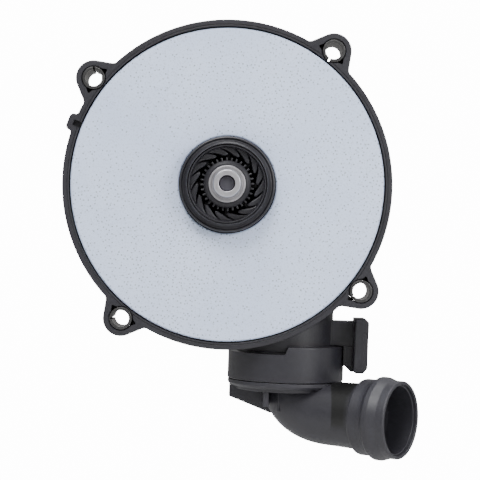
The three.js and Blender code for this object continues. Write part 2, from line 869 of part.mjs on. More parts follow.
function rearEndCap() {
  const back = CAP_Y[1];
  const shell = toSolid(
    lathe(
      [
        [CAN_R - 2, CAP_Y[0]],
        [CAN_R, CAP_Y[0]],
        [CAN_R, back - 3],
        [CAN_R - 3, back],
        [0, back],
        [0, REAR_BEARING_Y[1] + GAP],
        [BEARING_R + GAP, REAR_BEARING_Y[1] + GAP],
        [BEARING_R + GAP, REAR_BEARING_Y[0]],
        [BEARING_SEAT_R, REAR_BEARING_Y[0]],
        [BEARING_SEAT_R, back - 2.2],
        [CAN_R - 2, back - 2.2],
      ],
      40,
    ),
  );
  const { x, y, z, wall, floorZ } = SOCKET;
  const shroud = box(x, y, z);
  const inside = box(
    [x[0] + wall, x[1] - wall],
    [y[0] + wall, y[1] - wall],
    [floorZ, z[1] + 1],
  );
  const core = ring(0, CAN_R - 2, CAP_Y[0] - 1, back - 2.2, 40);
  const latch = box(LATCH.x, LATCH.y, LATCH.z);
  let cap = join(shell, cut(shroud, inside, core), latch);
  for (const side of [-1, 1]) {
    cap = cut(cap, pinBox(side, GAP, 20));
  }
  return cap;
}

function pinBox(side, room, lowZ) {
  const middleY = (SOCKET.y[0] + SOCKET.y[1]) / 2;
  return box(
    [
      side * PIN_X - PIN_SIZE[0] / 2 - room,
      side * PIN_X + PIN_SIZE[0] / 2 + room,
    ],
    [middleY - PIN_SIZE[1] / 2 - room, middleY + PIN_SIZE[1] / 2 + room],
    [lowZ, SOCKET.z[1] - 3],
  );
}

place("rear_end_cap", rearEndCap(), "housing");
place("connector_pin_left", pinBox(-1, 0, 28), "copper");
place("connector_pin_right", pinBox(1, 0, 28), "copper");

// ---- Brush plate with two brush boxes, brushes and their springs, above and below the commutator ----

const BRUSH_HALF = BRUSH_SIZE / 2;

function brushPlate() {
  const room = BRUSH_HALF + GAP;
  const outer = room + HOLDER_WALL;
  const holder = box([-outer, outer], [92, BRUSH_Y + outer], HOLDER_Z);
  const guide = box(
    [-room, room],
    [BRUSH_Y - room, BRUSH_Y + room],
    [5, SPRING_END_Z + GAP],
  );
  const base = ring(...HOLDER_RING_R, ...HOLDER_RING_Y, 36);
  const plate = join(base, holder, holder.mirror([0, 0, 1]));
  return cut(plate, guide, guide.mirror([0, 0, 1]));
}

place("brush_plate", brushPlate(), "housing");

function brushSpring() {
  const low = BRUSH_Z[1] + GAP + WIRE_R;
  const high = SPRING_END_Z - WIRE_R;
  const points = [];
  const steps = SPRING_TURNS * 8;
  for (let i = 0; i <= steps; i += 1) {
    const a = (i / steps) * SPRING_TURNS * 360 * DEG;
    points.push(
      new THREE.Vector3(
        SPRING_R * Math.cos(a),
        BRUSH_Y + SPRING_R * Math.sin(a),
        low + ((high - low) * i) / steps,
      ),
    );
  }
  const section = new THREE.Shape();
  section.absarc(0, 0, WIRE_R, 0, 2 * Math.PI, false);
  const geometry = new THREE.ExtrudeGeometry(section, {
    extrudePath: new THREE.CatmullRomCurve3(points),
    steps,
    curveSegments: 3,
  });
  return toSolid(geometry);
}

const upperBrush = box(
  [-BRUSH_HALF, BRUSH_HALF],
  [BRUSH_Y - BRUSH_HALF, BRUSH_Y + BRUSH_HALF],
  BRUSH_Z,
);
place("brush_upper", upperBrush, "carbon");
place("brush_lower", upperBrush.mirror([0, 0, 1]), "carbon");
place("brush_spring_upper", brushSpring(), "steel");
place("brush_spring_lower", brushSpring().mirror([0, 0, 1]), "steel");

export default pump;
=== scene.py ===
import math
import random

import bmesh
import bpy
from mathutils import Matrix, Vector
from mathutils.geometry import tessellate_polygon


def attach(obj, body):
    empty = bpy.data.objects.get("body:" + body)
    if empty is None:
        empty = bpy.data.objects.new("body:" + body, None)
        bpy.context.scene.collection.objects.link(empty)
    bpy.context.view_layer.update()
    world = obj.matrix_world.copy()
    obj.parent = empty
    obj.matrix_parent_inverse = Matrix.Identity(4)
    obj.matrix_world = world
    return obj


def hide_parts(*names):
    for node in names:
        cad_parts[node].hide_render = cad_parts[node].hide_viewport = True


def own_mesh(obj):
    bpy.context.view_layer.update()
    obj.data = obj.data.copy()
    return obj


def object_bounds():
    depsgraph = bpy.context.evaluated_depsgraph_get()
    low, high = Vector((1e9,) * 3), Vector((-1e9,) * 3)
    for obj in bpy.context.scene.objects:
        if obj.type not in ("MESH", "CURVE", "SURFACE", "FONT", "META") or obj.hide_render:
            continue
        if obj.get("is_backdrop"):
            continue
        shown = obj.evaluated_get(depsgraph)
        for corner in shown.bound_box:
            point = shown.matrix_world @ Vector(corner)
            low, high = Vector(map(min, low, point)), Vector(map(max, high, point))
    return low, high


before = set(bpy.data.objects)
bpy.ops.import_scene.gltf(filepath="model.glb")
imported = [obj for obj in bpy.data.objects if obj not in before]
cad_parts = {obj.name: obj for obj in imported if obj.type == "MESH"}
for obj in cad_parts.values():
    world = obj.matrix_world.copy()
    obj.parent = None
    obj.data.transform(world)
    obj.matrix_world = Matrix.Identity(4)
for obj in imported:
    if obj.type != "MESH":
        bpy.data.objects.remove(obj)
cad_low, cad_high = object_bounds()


# Studio. The pump hangs in front of the lens at the height of its air inlet, in a white room.
# One large soft lamp at the upper left is the key, a weaker one fills from the right, and the
# pale floor lies a little below, so that it shows in the higher views only.
MM = 0.001
CAMERA_AT = (6.14, -672, -23.07)
CAMERA_ROLL_DEG = 2
LENS_MM = 120
SENSOR_MM = 36
FLOOR_Z = -200
FLOOR_R = 1100
FLOOR_FAR_Y = 430
WHITE_BEHIND = 18
ROOM_LIGHT = 0.51
ROOM_SLOPE = 0.42
LAMPS = [
    ("key_lamp", (-240, -620, 800), 560, 10.5),
    ("fill_lamp", (660, -620, 280), 420, 5.8),
    ("top_lamp", (60, 60, 760), 520, 5.0),
]

lens = bpy.data.cameras.new("camera")
lens.lens = LENS_MM
lens.sensor_width = SENSOR_MM
lens.clip_start = 0.01
camera = bpy.data.objects.new("camera", lens)
camera.location = Vector(CAMERA_AT) * MM
camera.rotation_euler = (math.pi / 2, -math.radians(CAMERA_ROLL_DEG), 0)
bpy.context.scene.collection.objects.link(camera)
bpy.context.scene.camera = camera

for name, place, size, power in LAMPS:
    lamp = bpy.data.lights.new(name, "AREA")
    lamp.shape = "DISK"
    lamp.size = size * MM
    lamp.energy = power
    holder = bpy.data.objects.new(name, lamp)
    holder.location = Vector(place) * MM
    holder.rotation_euler = (-holder.location).to_track_quat("-Z", "Y").to_euler()
    bpy.context.scene.collection.objects.link(holder)


class Value:
    """A socket that can be used in sums: each sum adds its own Math node to the tree."""

    def __init__(self, nodes, socket):
        self.nodes = nodes
        self.socket = socket

    def output(self, name):
        return Value(self.nodes, self.socket.node.outputs[name])

    def sum(self, operation, *others, reverse=False):
        terms = [self, *others]
        if reverse:
            terms.reverse()
        inputs = dict(enumerate(terms))
        return self.nodes.add("ShaderNodeMath", {"operation": operation}, inputs)

    def __add__(self, other):
        return self.sum("ADD", other)

    def __sub__(self, other):
        return self.sum("SUBTRACT", other)

    def __rsub__(self, other):
        return self.sum("SUBTRACT", other, reverse=True)

    def __mul__(self, other):
        return self.sum("MULTIPLY", other)

    def __truediv__(self, other):
        return self.sum("DIVIDE", other)

    def __gt__(self, other):
        return self.sum("GREATER_THAN", other)

    __radd__ = __add__
    __rmul__ = __mul__


class Nodes:
    """Adds nodes to one tree: first a node's settings, then the values or links of its sockets."""

    def __init__(self, tree):
        self.tree = tree

    def add(self, kind, settings=None, inputs=None, output=0):
        node = self.tree.nodes.new(kind)
        for setting, value in (settings or {}).items():
            if setting == "stops":
                for stop, (position, colour) in zip(node.color_ramp.elements, value):
                    stop.position = position
                    stop.color = (*colour, 1)
            else:
                setattr(node, setting, value)
        for socket, value in (inputs or {}).items():
            self.feed(node.inputs[socket], value)
        return Value(self, node.outputs[output]) if node.outputs else None

    def feed(self, socket, value):
        if isinstance(value, Value):
            self.tree.links.new(value.socket, socket)
        else:
            socket.default_value = value

    def noise(self, place, scale, detail):
        inputs = {"Vector": place, "Scale": scale, "Detail": detail}
        return self.add("ShaderNodeTexNoise", inputs=inputs)

    def ramp(self, stops, share):
        return self.add("ShaderNodeValToRGB", {"stops": stops}, {0: share})

    def bump(self, height, strength, distance):
        inputs = {"Height": height, "Strength": strength, "Distance": distance}
        return self.add("ShaderNodeBump", inputs=inputs)


world = bpy.data.worlds.new("white_room")
bpy.context.scene.world = world
world.use_nodes = True
world.node_tree.nodes.clear()
room = Nodes(world.node_tree)
white = room.add("ShaderNodeBackground", inputs={"Strength": WHITE_BEHIND})
heading = room.add("ShaderNodeTexCoord", output="Generated")
upward = room.add("ShaderNodeSeparateXYZ", inputs={0: heading}).output("Z")
light = room.add("ShaderNodeBackground", inputs={"Strength": upward * ROOM_SLOPE + ROOM_LIGHT})
seen = room.add("ShaderNodeLightPath")
behind = room.add("ShaderNodeMixShader", inputs={0: seen, 1: light, 2: white})
room.add("ShaderNodeOutputWorld", inputs={"Surface": behind})


def mesh_object(name, vertices, faces):
    """One mesh from points in millimetres, its doubles merged and its faces turned outwards."""
    mesh = bpy.data.meshes.new(name)
    mesh.from_pydata([Vector(v) * MM for v in vertices], [], faces)
    shape = bmesh.new()
    shape.from_mesh(mesh)
    bmesh.ops.remove_doubles(shape, verts=shape.verts, dist=1e-6)
    bmesh.ops.recalc_face_normals(shape, faces=shape.faces)
    shape.to_mesh(mesh)
    shape.free()
    piece = bpy.data.objects.new(name, mesh)
    bpy.context.scene.collection.objects.link(piece)
    return piece


def plain_finish(name, colour, roughness, **sockets):
    """A material with its shader's even values, and the Nodes that add to it."""
    finish = bpy.data.materials.new(name)
    finish.use_nodes = True
    shader = finish.node_tree.nodes["Principled BSDF"]
    shader.inputs["Base Color"].default_value = (*colour, 1)
    shader.inputs["Roughness"].default_value = roughness
    for socket, value in sockets.items():
        shader.inputs[socket.replace("_", " ")].default_value = value
    return finish, Nodes(finish.node_tree), shader.inputs


FLOOR_STEPS = 96
floor_points = []
for i in range(FLOOR_STEPS):
    turn = 2 * math.pi * i / FLOOR_STEPS
    x, y = FLOOR_R * math.cos(turn), FLOOR_R * math.sin(turn)
    floor_points.append((x, min(y, FLOOR_FAR_Y), FLOOR_Z))
floor = mesh_object("floor", floor_points, [range(FLOOR_STEPS)])
floor_finish, nodes, sockets = plain_finish("matt_white_floor", (0.62, 0.62, 0.62), 0.7)
cloud = nodes.add("ShaderNodeTexNoise", inputs={"Scale": 3.0, "Detail": 2.0})
nodes.feed(sockets["Roughness"], cloud * 0.2 + 0.6)
floor.data.materials.append(floor_finish)
floor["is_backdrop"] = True


# Inlet housing. One moulding of glass-filled black nylon: the round rim with four bolt ears and
# a keyed tab, the dish that carries the filter mat, and the collar round the air inlet. The ears
# have small pockets beside the bolt sleeves, so that no wall is too thick to cool evenly.
RIM_R = 69.5
RIM_BORE_R = 66.6
RIM_DEPTH = 16
LIP_GROOVE = 0.3
LIP_R = 67.3
DISH_Y = [3.7, 6.2]
COLLAR_R = 20.1
COLLAR_BORE_R = 16.6
COLLAR_TOP_Y = -9
COLLAR_SHOULDER_Y = -5.4
EAR_ANGLES = [53.4, 143.4, 233.4, 323.4]
EAR_PITCH_R = 71.9
EAR_R = 7.5
EAR_DEPTH = 17
EAR_LEAN_DEG = 29
EAR_ROOT_R = 68.5
EAR_INNER_R = 67.7
EAR_FILLET = 3.8
EYE_R = 5.0
PRESSED_R = 4.73
TAB_LIE_DEG = 159.9
TAB_R = 72.3
TAB_WIDTH = 7.4
TAB_DEPTH = 6
SCREW_PITCH_R = 58
SCREW_ANGLES = [5, 58, 111, 164, 217, 262]
SCREW_BOSS_R = 4.5
SCREW_BOSS_Y = [5, 11.7]
PILOT_R = 1.8
SEAL_RIB_R = [46, 51]
NECK_AXIS = (27.9, 27)
NECK_R = 20.1
ARC_STEPS = 5


def polar(r, degrees):
    turn = math.radians(degrees)
    return r * math.cos(turn), r * math.sin(turn)


def rounded(corners, steps=ARC_STEPS):
    """A closed outline through corners (a, b, radius), with an arc of that radius at each one."""
    outline = []
    for i, (a, b, radius) in enumerate(corners):
        here = Vector((a, b))
        back = (Vector(corners[i - 1][:2]) - here).normalized()
        ahead = (Vector(corners[(i + 1) % len(corners)][:2]) - here).normalized()
        half = back.angle(ahead) / 2
        if not radius or half > math.radians(89):
            outline.append((a, b))
            continue
        start = here + back * radius / math.tan(half)
        end = here + ahead * radius / math.tan(half)
        centre = here + (back + ahead).normalized() * radius / math.sin(half)
        first = math.atan2(*reversed(start - centre))
        turn = math.atan2(*reversed(end - centre)) - first
        turn = (turn + math.pi) % (2 * math.pi) - math.pi
        for k in range(steps + 1):
            at = first + turn * k / steps
            outline.append((centre.x + radius * math.cos(at), centre.y + radius * math.sin(at)))
    return outline


def circle(r, steps=32, centre=(0, 0)):
    points = [polar(r, 360 * i / steps) for i in range(steps)]
    return [(centre[0] + a, centre[1] + b) for a, b in points]


def skin(name, rings, closed=True):
    """A mesh over rings with the same number of points; the last ring meets the first."""
    size = len(rings[0])
    faces = []
    for i in range(len(rings) if closed else len(rings) - 1):
        for j in range(size):
            k, following = (j + 1) % size, (i + 1) % len(rings)
            faces.append((i * size + j, i * size + k, following * size + k, following * size + j))
    return mesh_object(name, [point for ring in rings for point in ring], faces)


def lathed(name, profile, segments=96, axis="Y", centre=(0, 0)):
    """A closed profile of (radius, height) turned about the rotor's axis or an upright one."""
    rings = []
    for r, height in profile:
        turned = circle(r, segments, centre)
        if axis == "Y":
            rings.append([(a, height, b) for a, b in turned])
        else:
            rings.append([(a, b, height) for a, b in turned])
    return skin(name, rings)


def drill(name, r, ends, segments=24, axis="Y", centre=(0, 0)):
    """A plain round tool that cuts a hole of that radius between two heights."""
    low, high = ends
    return lathed(name, [(0, low), (r, low), (r, high), (0, high)], segments, axis, centre)


def shifted(loop, distance):
    """The loop moved to its left by that distance, with mitred corners."""
    moved = []
    for i, point in enumerate(loop):
        here = Vector(point)
        along = (here - Vector(loop[i - 1])).normalized()
        ahead = (Vector(loop[(i + 1) % len(loop)]) - here).normalized()
        left, next_left = Vector((-along.y, along.x)), Vector((-ahead.y, ahead.x))
        moved.append(here + (left + next_left) * distance / (1 + left.dot(next_left)))
    return moved


def winding(loop):
    pairs = zip(loop, [*loop[1:], loop[0]])
    return sum(a * d - c * b for (a, b), (c, d) in pairs)


def slab(name, outline, low, high, edges=(0.3, 0.3), axis="Y", steps=3):
    """A plate of that outline from low to high along the axis, its two ends rounded."""
    loop = outline if winding(outline) > 0 else outline[::-1]
    levels = []
    for edge, end, side in ((edges[0], low, 1), (edges[1], high, -1)):
        part = []
        for k in range(steps + 1 if edge else 1):
            turn = math.pi / 2 * k / steps
            inset = edge * (1 - math.sin(turn))
            part.append((inset, end + side * edge * (1 - math.cos(turn))))
        levels += part if side > 0 else part[::-1]
    vertices, faces = [], []
    for inset, height in levels:
        for a, b in shifted(loop, inset):
            vertices.append((a, height, b) if axis == "Y" else (a, b, height))
    size = len(loop)
    for level in range(len(levels) - 1):
        row, following = level * size, (level + 1) * size
        for near in range(size):
            far = (near + 1) % size
            faces.append((row + near, row + far, following + far, following + near))
    for level in (0, len(levels) - 1):
        flat = [Vector((*point, 0)) for point in shifted(loop, levels[level][0])]
        for triangle in tessellate_polygon([flat]):
            faces.append([level * size + corner for corner in triangle])
    return mesh_object(name, vertices, faces)


def block(name, x, y, z, edge=0.3, corner=0.3):
    """A box with rounded edges."""
    corners = [(x[0], z[0]), (x[1], z[0]), (x[1], z[1]), (x[0], z[1])]
    outline = rounded([(a, b, corner) for a, b in corners], 3)
    return slab(name, outline, y[0], y[1], (edge, edge))


def settle(piece):
    """Turns a piece and its modifiers into one plain mesh."""
    shape = piece.evaluated_get(bpy.context.evaluated_depsgraph_get())
    mesh = bpy.data.meshes.new_from_object(shape)
    mesh.name = piece.name
    piece.modifiers.clear()
    piece.data = mesh
    return piece


def shaped(piece, added=(), cut=()):
    """The piece with others joined to it, and then with others cut out of it."""
    for operation, tools in (("UNION", added), ("DIFFERENCE", cut)):
        for tool in tools:
            step = piece.modifiers.new(operation, "BOOLEAN")
            step.solver = "MANIFOLD"
            step.operation = operation
            step.object = tool
    settle(piece)
    for tool in [*added, *cut]:
        bpy.data.objects.remove(tool)
    return piece


def turned(piece, degrees, axis="Y", shift=(0, 0, 0)):
    """Turns a piece's mesh from +X towards +Z, or about the upright axis, and then moves it."""
    angle = -math.radians(degrees) if axis == "Y" else math.radians(degrees)
    turn = Matrix.Rotation(angle, 4, axis)
    piece.data.transform(Matrix.Translation(Vector(shift) * MM) @ turn)
    return piece


def fit(piece, finish, body, replaced=(), sharp_deg=38):
    """Gives a finished mesh its material, smooth shading and body, and hides the CAD nodes it replaces.
    """
    mesh = piece.data
    mesh.materials.clear()
    mesh.materials.append(finish)
    mesh.polygons.foreach_set("material_index", [0] * len(mesh.polygons))
    mesh.shade_smooth()
    mesh.set_sharp_from_angle(angle=math.radians(sharp_deg))
    weigh = piece.modifiers.new("flat_faces", "WEIGHTED_NORMAL")
    weigh.keep_sharp = True
    settle(piece)
    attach(piece, body)
    if replaced:
        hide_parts(*replaced)
    return piece


def moulded_plastic(name, shade=0.019, roughness=0.42, grain=0.35):
    """Black glass-filled nylon: a fine spark-eroded grain, with faint flow marks in its gloss."""
    finish, nodes, sockets = plain_finish(name, (shade,) * 3, roughness, Specular_IOR_Level=0.5)
    place = nodes.add("ShaderNodeTexCoord", output=3)
    flow = nodes.noise(place, 55.0, 3.0)
    fine = nodes.noise(place, 2600.0, 2.0)
    coarse = nodes.noise(place, 700.0, 1.0)
    low = (shade * 0.84, shade * 0.82, shade * 1.04)
    high = (shade * 1.12, shade * 1.09, shade * 1.38)
    stops = [(0.3, low), (0.7, high)]
    tone = nodes.ramp(stops, flow * 0.6 + coarse * 0.4)
    nodes.feed(sockets["Base Color"], tone)
    nodes.feed(sockets["Roughness"], flow * 0.16 + coarse * 0.08 + (roughness - 0.12))
    height = fine * 0.6 + coarse * 0.4
    inputs = {"Height": height, "Strength": grain, "Distance": 0.00003}
    nodes.feed(sockets["Normal"], nodes.add("ShaderNodeBump", inputs=inputs))
    return finish


black_plastic = moulded_plastic("black_nylon")

profile = [
    (COLLAR_BORE_R, DISH_Y[1], 0.3),
    (COLLAR_BORE_R, COLLAR_TOP_Y, 0.18),
    (COLLAR_BORE_R + 0.4, COLLAR_TOP_Y, 0.15),
    (COLLAR_BORE_R + 0.5, COLLAR_SHOULDER_Y - 0.6, 0.5),
    (COLLAR_R - 1.3, COLLAR_SHOULDER_Y + 1.2, 0.5),
    (COLLAR_R - 0.9, COLLAR_SHOULDER_Y, 0.3),
    (COLLAR_R - 0.1, COLLAR_SHOULDER_Y + 0.5, 0.5),
    (COLLAR_R, DISH_Y[0], 0.2),
    (RIM_BORE_R, DISH_Y[0], 0.3),
    (RIM_BORE_R, 0, 0.12),
    (LIP_R, 0, 0.12),
    (LIP_R + 0.05, LIP_GROOVE, 0),
    (LIP_R + 0.25, LIP_GROOVE, 0),
    (LIP_R + 0.3, 0, 0.12),
    (RIM_R, 0, 0.45),
    (RIM_R, RIM_DEPTH, 0.5),
    (RIM_BORE_R, RIM_DEPTH, 0.4),
    (RIM_BORE_R, DISH_Y[1], 0.8),
]
inlet_housing = lathed("inlet_housing_moulding", rounded(profile), 240)


def ear_outline():
    """An ear that points along +X, with straight flanks that run out into the rim in fillets."""
    lean = math.radians(EAR_LEAN_DEG)
    top = EAR_PITCH_R + EAR_R
    top_half = EAR_R * (1 - math.sin(lean)) / math.cos(lean)
    root_half = top_half + (top - EAR_ROOT_R) * math.tan(lean)
    far_half = root_half + EAR_FILLET
    far_r = math.sqrt((RIM_R - 0.25) ** 2 - far_half**2)
    side = [
        (EAR_INNER_R, -far_half, 0),
        (far_r, -far_half, 0),
        (EAR_ROOT_R, -root_half, EAR_FILLET),
        (top, -top_half, EAR_R - 0.01),
    ]
    return rounded(side + [(r, -across, radius) for r, across, radius in reversed(side)], 10)


added, cut = [], []
for angle in EAR_ANGLES:
    added.append(turned(slab("ear", ear_outline(), 0, EAR_DEPTH, (0.5, 0.5)), angle))
    x, z = polar(EAR_PITCH_R, angle)
    bore = [(0, -1), (EYE_R + 0.4, -1), (EYE_R + 0.35, 0), (EYE_R, 0.4), (EYE_R, 8.5)]
    bore += [(PRESSED_R, 9.5), (PRESSED_R, 18), (0, 18)]
    cut.append(lathed("eye", bore, 48, centre=(x, z)))
    for side in (-1, 1):
        corners = [(1.1, 4.5, 0.3), (-2.3, 6.5, 0.4), (-3.2, 3.4, 0.2)]
        pocket = [(EAR_PITCH_R + a, side * b, radius) for a, b, radius in corners]
        cut.append(turned(slab("pocket", rounded(pocket, 3), -1, 8, (0, 0.3)), angle))

corners = [
    (RIM_R - 1.6, -TAB_WIDTH / 2 - 1.6, 0),
    (RIM_R - 0.2, -TAB_WIDTH / 2 - 1.2, 0),
    (RIM_R + 0.2, -TAB_WIDTH / 2, 0.7),
    (TAB_R, -TAB_WIDTH / 2 + 0.2, 1.9),
]
corners += [(r, -across, radius) for r, across, radius in reversed(corners)]
added.append(turned(slab("tab", rounded(corners), 0, TAB_DEPTH, (0.4, 0.4)), TAB_LIE_DEG))
slot = block("slot", (RIM_BORE_R - 1, RIM_R + 0.4), (-1, 3.2), (-1.25, 1.25), 0.1, 0.3)
cut.append(turned(slot, TAB_LIE_DEG))

for angle in SCREW_ANGLES:
    x, z = polar(SCREW_PITCH_R, angle)
    low, high = SCREW_BOSS_Y
    boss = [(0, low, 0), (SCREW_BOSS_R, low, 0), (SCREW_BOSS_R, high, 0.3), (0, high, 0)]
    added.append(lathed("boss", rounded(boss), 32, centre=(x, z)))
    cut.append(drill("pilot", PILOT_R, (low + 1.8, 15), centre=(x, z)))
inner, outer = SEAL_RIB_R
seal_rib = [(inner, low, 0), (outer, low, 0), (outer, high, 0.4), (inner, high, 0.4)]
added.append(lathed("seal_rib", rounded(seal_rib), 120))
cut.append(drill("neck_room", NECK_R + 0.4, (-85, -20), 96, "Z", NECK_AXIS))
shaped(inlet_housing, added, cut)
fit(inlet_housing, black_plastic, "housing", ["inlet_housing"])


# Filter mat. A disc of pale blue-grey non-woven polyester, about 3 mm thick, punched from a
# sheet that is spot-bonded in a fine lattice. It lies in the rim, round the collar, and its
# cut edges are a little rolled. Air is cleaned by the separator wheel, and damped by the mat.
MAT_R = 66.1
MAT_HOLE_R = 20.45
MAT_Y = [0.4, 3.4]
MAT_PITCH = 1.75
MAT_WANDER = 0.75
MAT_ACROSS = 104
MAT_AROUND = 780
MAT_EDGE = 0.55
BOND_R = 0.42


random.seed(7)
waves = []
for _ in range(9):
    heading = random.uniform(0, math.pi)
    length = random.uniform(14, 48)
    waves.append((heading, 2 * math.pi / length, random.uniform(0, 6.3), length * 0.0011))


def mat_face(x, z):
    """Height of the mat's face, which is soft and slightly uneven."""
    swell = 0
    for heading, rate, phase, depth in waves:
        swell += depth * math.sin((x * math.cos(heading) + z * math.sin(heading)) * rate + phase)
    return MAT_Y[0] + 0.18 + swell


rings = [[(a, MAT_Y[1], b) for a, b in circle(MAT_R - 0.5, MAT_AROUND)]]
rings.append([(a, MAT_Y[1] - 0.5, b) for a, b in circle(MAT_R, MAT_AROUND)])
for i in range(MAT_ACROSS + 1):
    share = i / MAT_ACROSS
    r = MAT_R + (MAT_HOLE_R - MAT_R) * share
    inside = min(MAT_R - r, r - MAT_HOLE_R) / MAT_EDGE
    roll = MAT_EDGE * (1 - math.sqrt(1 - (1 - min(inside, 1)) ** 2))
    ring = []
    for a, b in circle(r, MAT_AROUND):
        ring.append((a, max(mat_face(a, b), MAT_Y[0]) + roll, b))
    rings.append(ring)
rings.append([(a, MAT_Y[1], b) for a, b in circle(MAT_HOLE_R, MAT_AROUND)])
filter_mat = skin("filter_mat_fleece", rings)

fleece, nodes, sockets = plain_finish("spot_bonded_fleece", (0.62, 0.68, 0.74), 0.92)
place = nodes.add("ShaderNodeTexCoord", output=3)
parts = nodes.add("ShaderNodeSeparateXYZ", inputs={0: place})
x, z = parts.output("X"), parts.output("Z")
pitch = MAT_PITCH * MM
row = (z / pitch).sum("ROUND")
shift = row.sum("MODULO", 2.0).sum("ABSOLUTE") * (pitch / 2)
column = ((x - shift) / pitch).sum("ROUND")
cells = nodes.add("ShaderNodeCombineXYZ", inputs={0: column, 2: row})
chance = nodes.add("ShaderNodeTexWhiteNoise", inputs={"Vector": cells})
wander = nodes.add("ShaderNodeSeparateXYZ", inputs={0: chance.output("Color")})
across = x - shift - (column + (wander - 0.5) * MAT_WANDER) * pitch
upward = z - (row + (wander.output("Z") - 0.5) * MAT_WANDER) * pitch
off_spot = (across * across + upward * upward).sum("SQRT") / (BOND_R * MM)
spot = (1 - off_spot).sum("MAXIMUM", 0.0)
broad = nodes.noise(place, 22.0, 3.0)
fibre_place = nodes.add("ShaderNodeMapping", inputs={0: place, "Scale": (1.0, 1.0, 0.25)})
fibre_inputs = {"Vector": fibre_place, "Scale": 3200.0, "Detail": 3.0, "Distortion": 1.2}
fibres = nodes.add("ShaderNodeTexNoise", inputs=fibre_inputs)
pores = nodes.noise(place, 1300.0, 2.0)
dark_spot = spot * ((chance + (broad - 0.5) * 2.4) > 0.62) * 0.9
soft_spot = spot * (0.1 + chance * 0.3)
pore_dark = (pores - 0.56).sum("MAXIMUM", 0.0) * 2.4
darker = (dark_spot + soft_spot + pore_dark).sum("MINIMUM", 1.0)
clean = nodes.ramp([(0.32, (0.585, 0.69, 0.92)), (0.68, (0.69, 0.785, 0.99))], broad * 0.7 + fibres * 0.3)
tint = nodes.add(
    "ShaderNodeMix",
    {"data_type": "RGBA"},
    {0: darker, 6: clean, 7: (0.22, 0.28, 0.36, 1)},
    output=2,
)
nodes.feed(sockets["Base Color"], tint)
height = fibres * 0.5 + pores * 0.5 - spot * 0.6
nodes.feed(sockets["Normal"], nodes.bump(height, 0.35, 0.0001))
fit(filter_mat, fleece, "housing", ["filter_mat"], 60)


# Bolt sleeves. Four spring sleeves rolled from 1.25 mm zinc-plated strip and pressed into the
# ears; each keeps the open slit where its strip's ends meet, turned any way round.
SLEEVE_R = 4.7
SLEEVE_BORE_R = 3.45
SLEEVE_SLIT = 0.8
SLEEVE_Y = [-0.2, 17.4]
SLIT_ANGLES = [242, 90, 180, 216]

steel_grey = (0.42, 0.41, 0.40)
rolled_steel, nodes, sockets = plain_finish("rolled_zinc_steel", steel_grey, 0.38, Metallic=1.0)
place = nodes.add("ShaderNodeTexCoord", output=3)
stretched = nodes.add("ShaderNodeMapping", inputs={0: place, "Scale": (1.0, 0.12, 1.0)})
draw_marks = nodes.add("ShaderNodeTexNoise", inputs={"Vector": stretched, "Scale": 2400.0})
spangle = nodes.add("ShaderNodeTexVoronoi", inputs={"Vector": place, "Scale": 520.0})
stops = [(0.2, (0.2, 0.195, 0.19)), (0.8, (0.36, 0.35, 0.34))]
tone = nodes.ramp(stops, draw_marks * 0.6 + spangle * 0.5)
along = nodes.add("ShaderNodeSeparateXYZ", inputs={0: place}).output("Y") / MM
# The front end face of each sleeve is coloured nearly black.
front_face_mask = ((SLEEVE_Y[0] + 0.12 - along) * 12).sum("MAXIMUM", 0.0).sum("MINIMUM", 1.0)
inputs = {0: front_face_mask, 6: tone, 7: (0.09, 0.089, 0.089, 1)}
darkened_front_face = nodes.add("ShaderNodeMix", {"data_type": "RGBA"}, inputs, output=2)
nodes.feed(sockets["Base Color"], darkened_front_face)
nodes.feed(sockets["Roughness"], draw_marks * 0.2 + 0.3)
nodes.feed(sockets["Normal"], nodes.bump(draw_marks, 0.3, 0.00002))

for number, (angle, slit) in enumerate(zip(EAR_ANGLES, SLIT_ANGLES), 1):
    first = math.degrees(math.asin(SLEEVE_SLIT / 2 / SLEEVE_R))
    inner_first = math.degrees(math.asin(SLEEVE_SLIT / 2 / SLEEVE_BORE_R))
    steps = 56
    outer = [polar(SLEEVE_R, first + (360 - 2 * first) * i / steps) for i in range(steps + 1)]
    sweep = 360 - 2 * inner_first
    inner = [polar(SLEEVE_BORE_R, inner_first + sweep * i / steps) for i in range(steps + 1)]
    sleeve = slab(f"bolt_sleeve_{number}", outer + inner[::-1], *SLEEVE_Y, (0.16, 0.28))
    x, z = polar(EAR_PITCH_R, angle)
    turned(sleeve, slit, shift=(x, 0, z))
    fit(sleeve, rolled_steel, "housing", [f"mount_sleeve_{number}"])


# Fan housing. The second black nylon moulding closes the fan chamber from behind: a flange that
# is screwed to the inlet housing, the scroll that widens clockwise towards the outlet, the round
# outlet neck that hangs from it, a seat for the motor, and a T rail that takes a cable clip.
FLANGE_R = 66
FLANGE_Y = [12, 15]
SCROLL_R = [41.5, 48]
SCROLL_FIRST_DEG = -100
SCROLL_TURN_DEG = 260
SCROLL_STEPS = 78
SCROLL_WALL = 2.5
SCROLL_BACK_Y = 46
SCROLL_FILLET = 6
THROAT_Z = -38
NECK_BORE_R = 16.5
NECK_Z = [-79, -30]
NECK_RIDGE = [21.3, -72.3, -70.1]
MOTOR_SCREW_PITCH_R = 20
MOTOR_SCREW_ANGLES = [90, 210, 330]
MOTOR_SEAT_R = [31.4, 33.4]
MOTOR_SEAT_Y = [42, 53]
PAD_R = [7, 27]
PAD_Y = [40, 46.2]
RIB_HALF = 0.8
RIB_STEP_DEG = 53
RIB_FIRST_DEG = [22.5, 40.5]
RIB_COUNT = 4
RAIL_ARM = [(43, 58), (20, 30), (-67.4, -56.6)]
RAIL_LIP_Y = (20.2, 21)
RAIL_BAR_X = [56.6, 62.7]
RAIL_BAR_Y = [12.5, 27.5]
RAIL_WEB_X = [53.35, 58]
RAIL_WEB_Y = [21, 30.5]
RAIL_LOW_Z = -78.5
SEAL_GROOVE_R = [47.2, 50.4]
SEAL_GROOVE_Y = [11, 13.6]
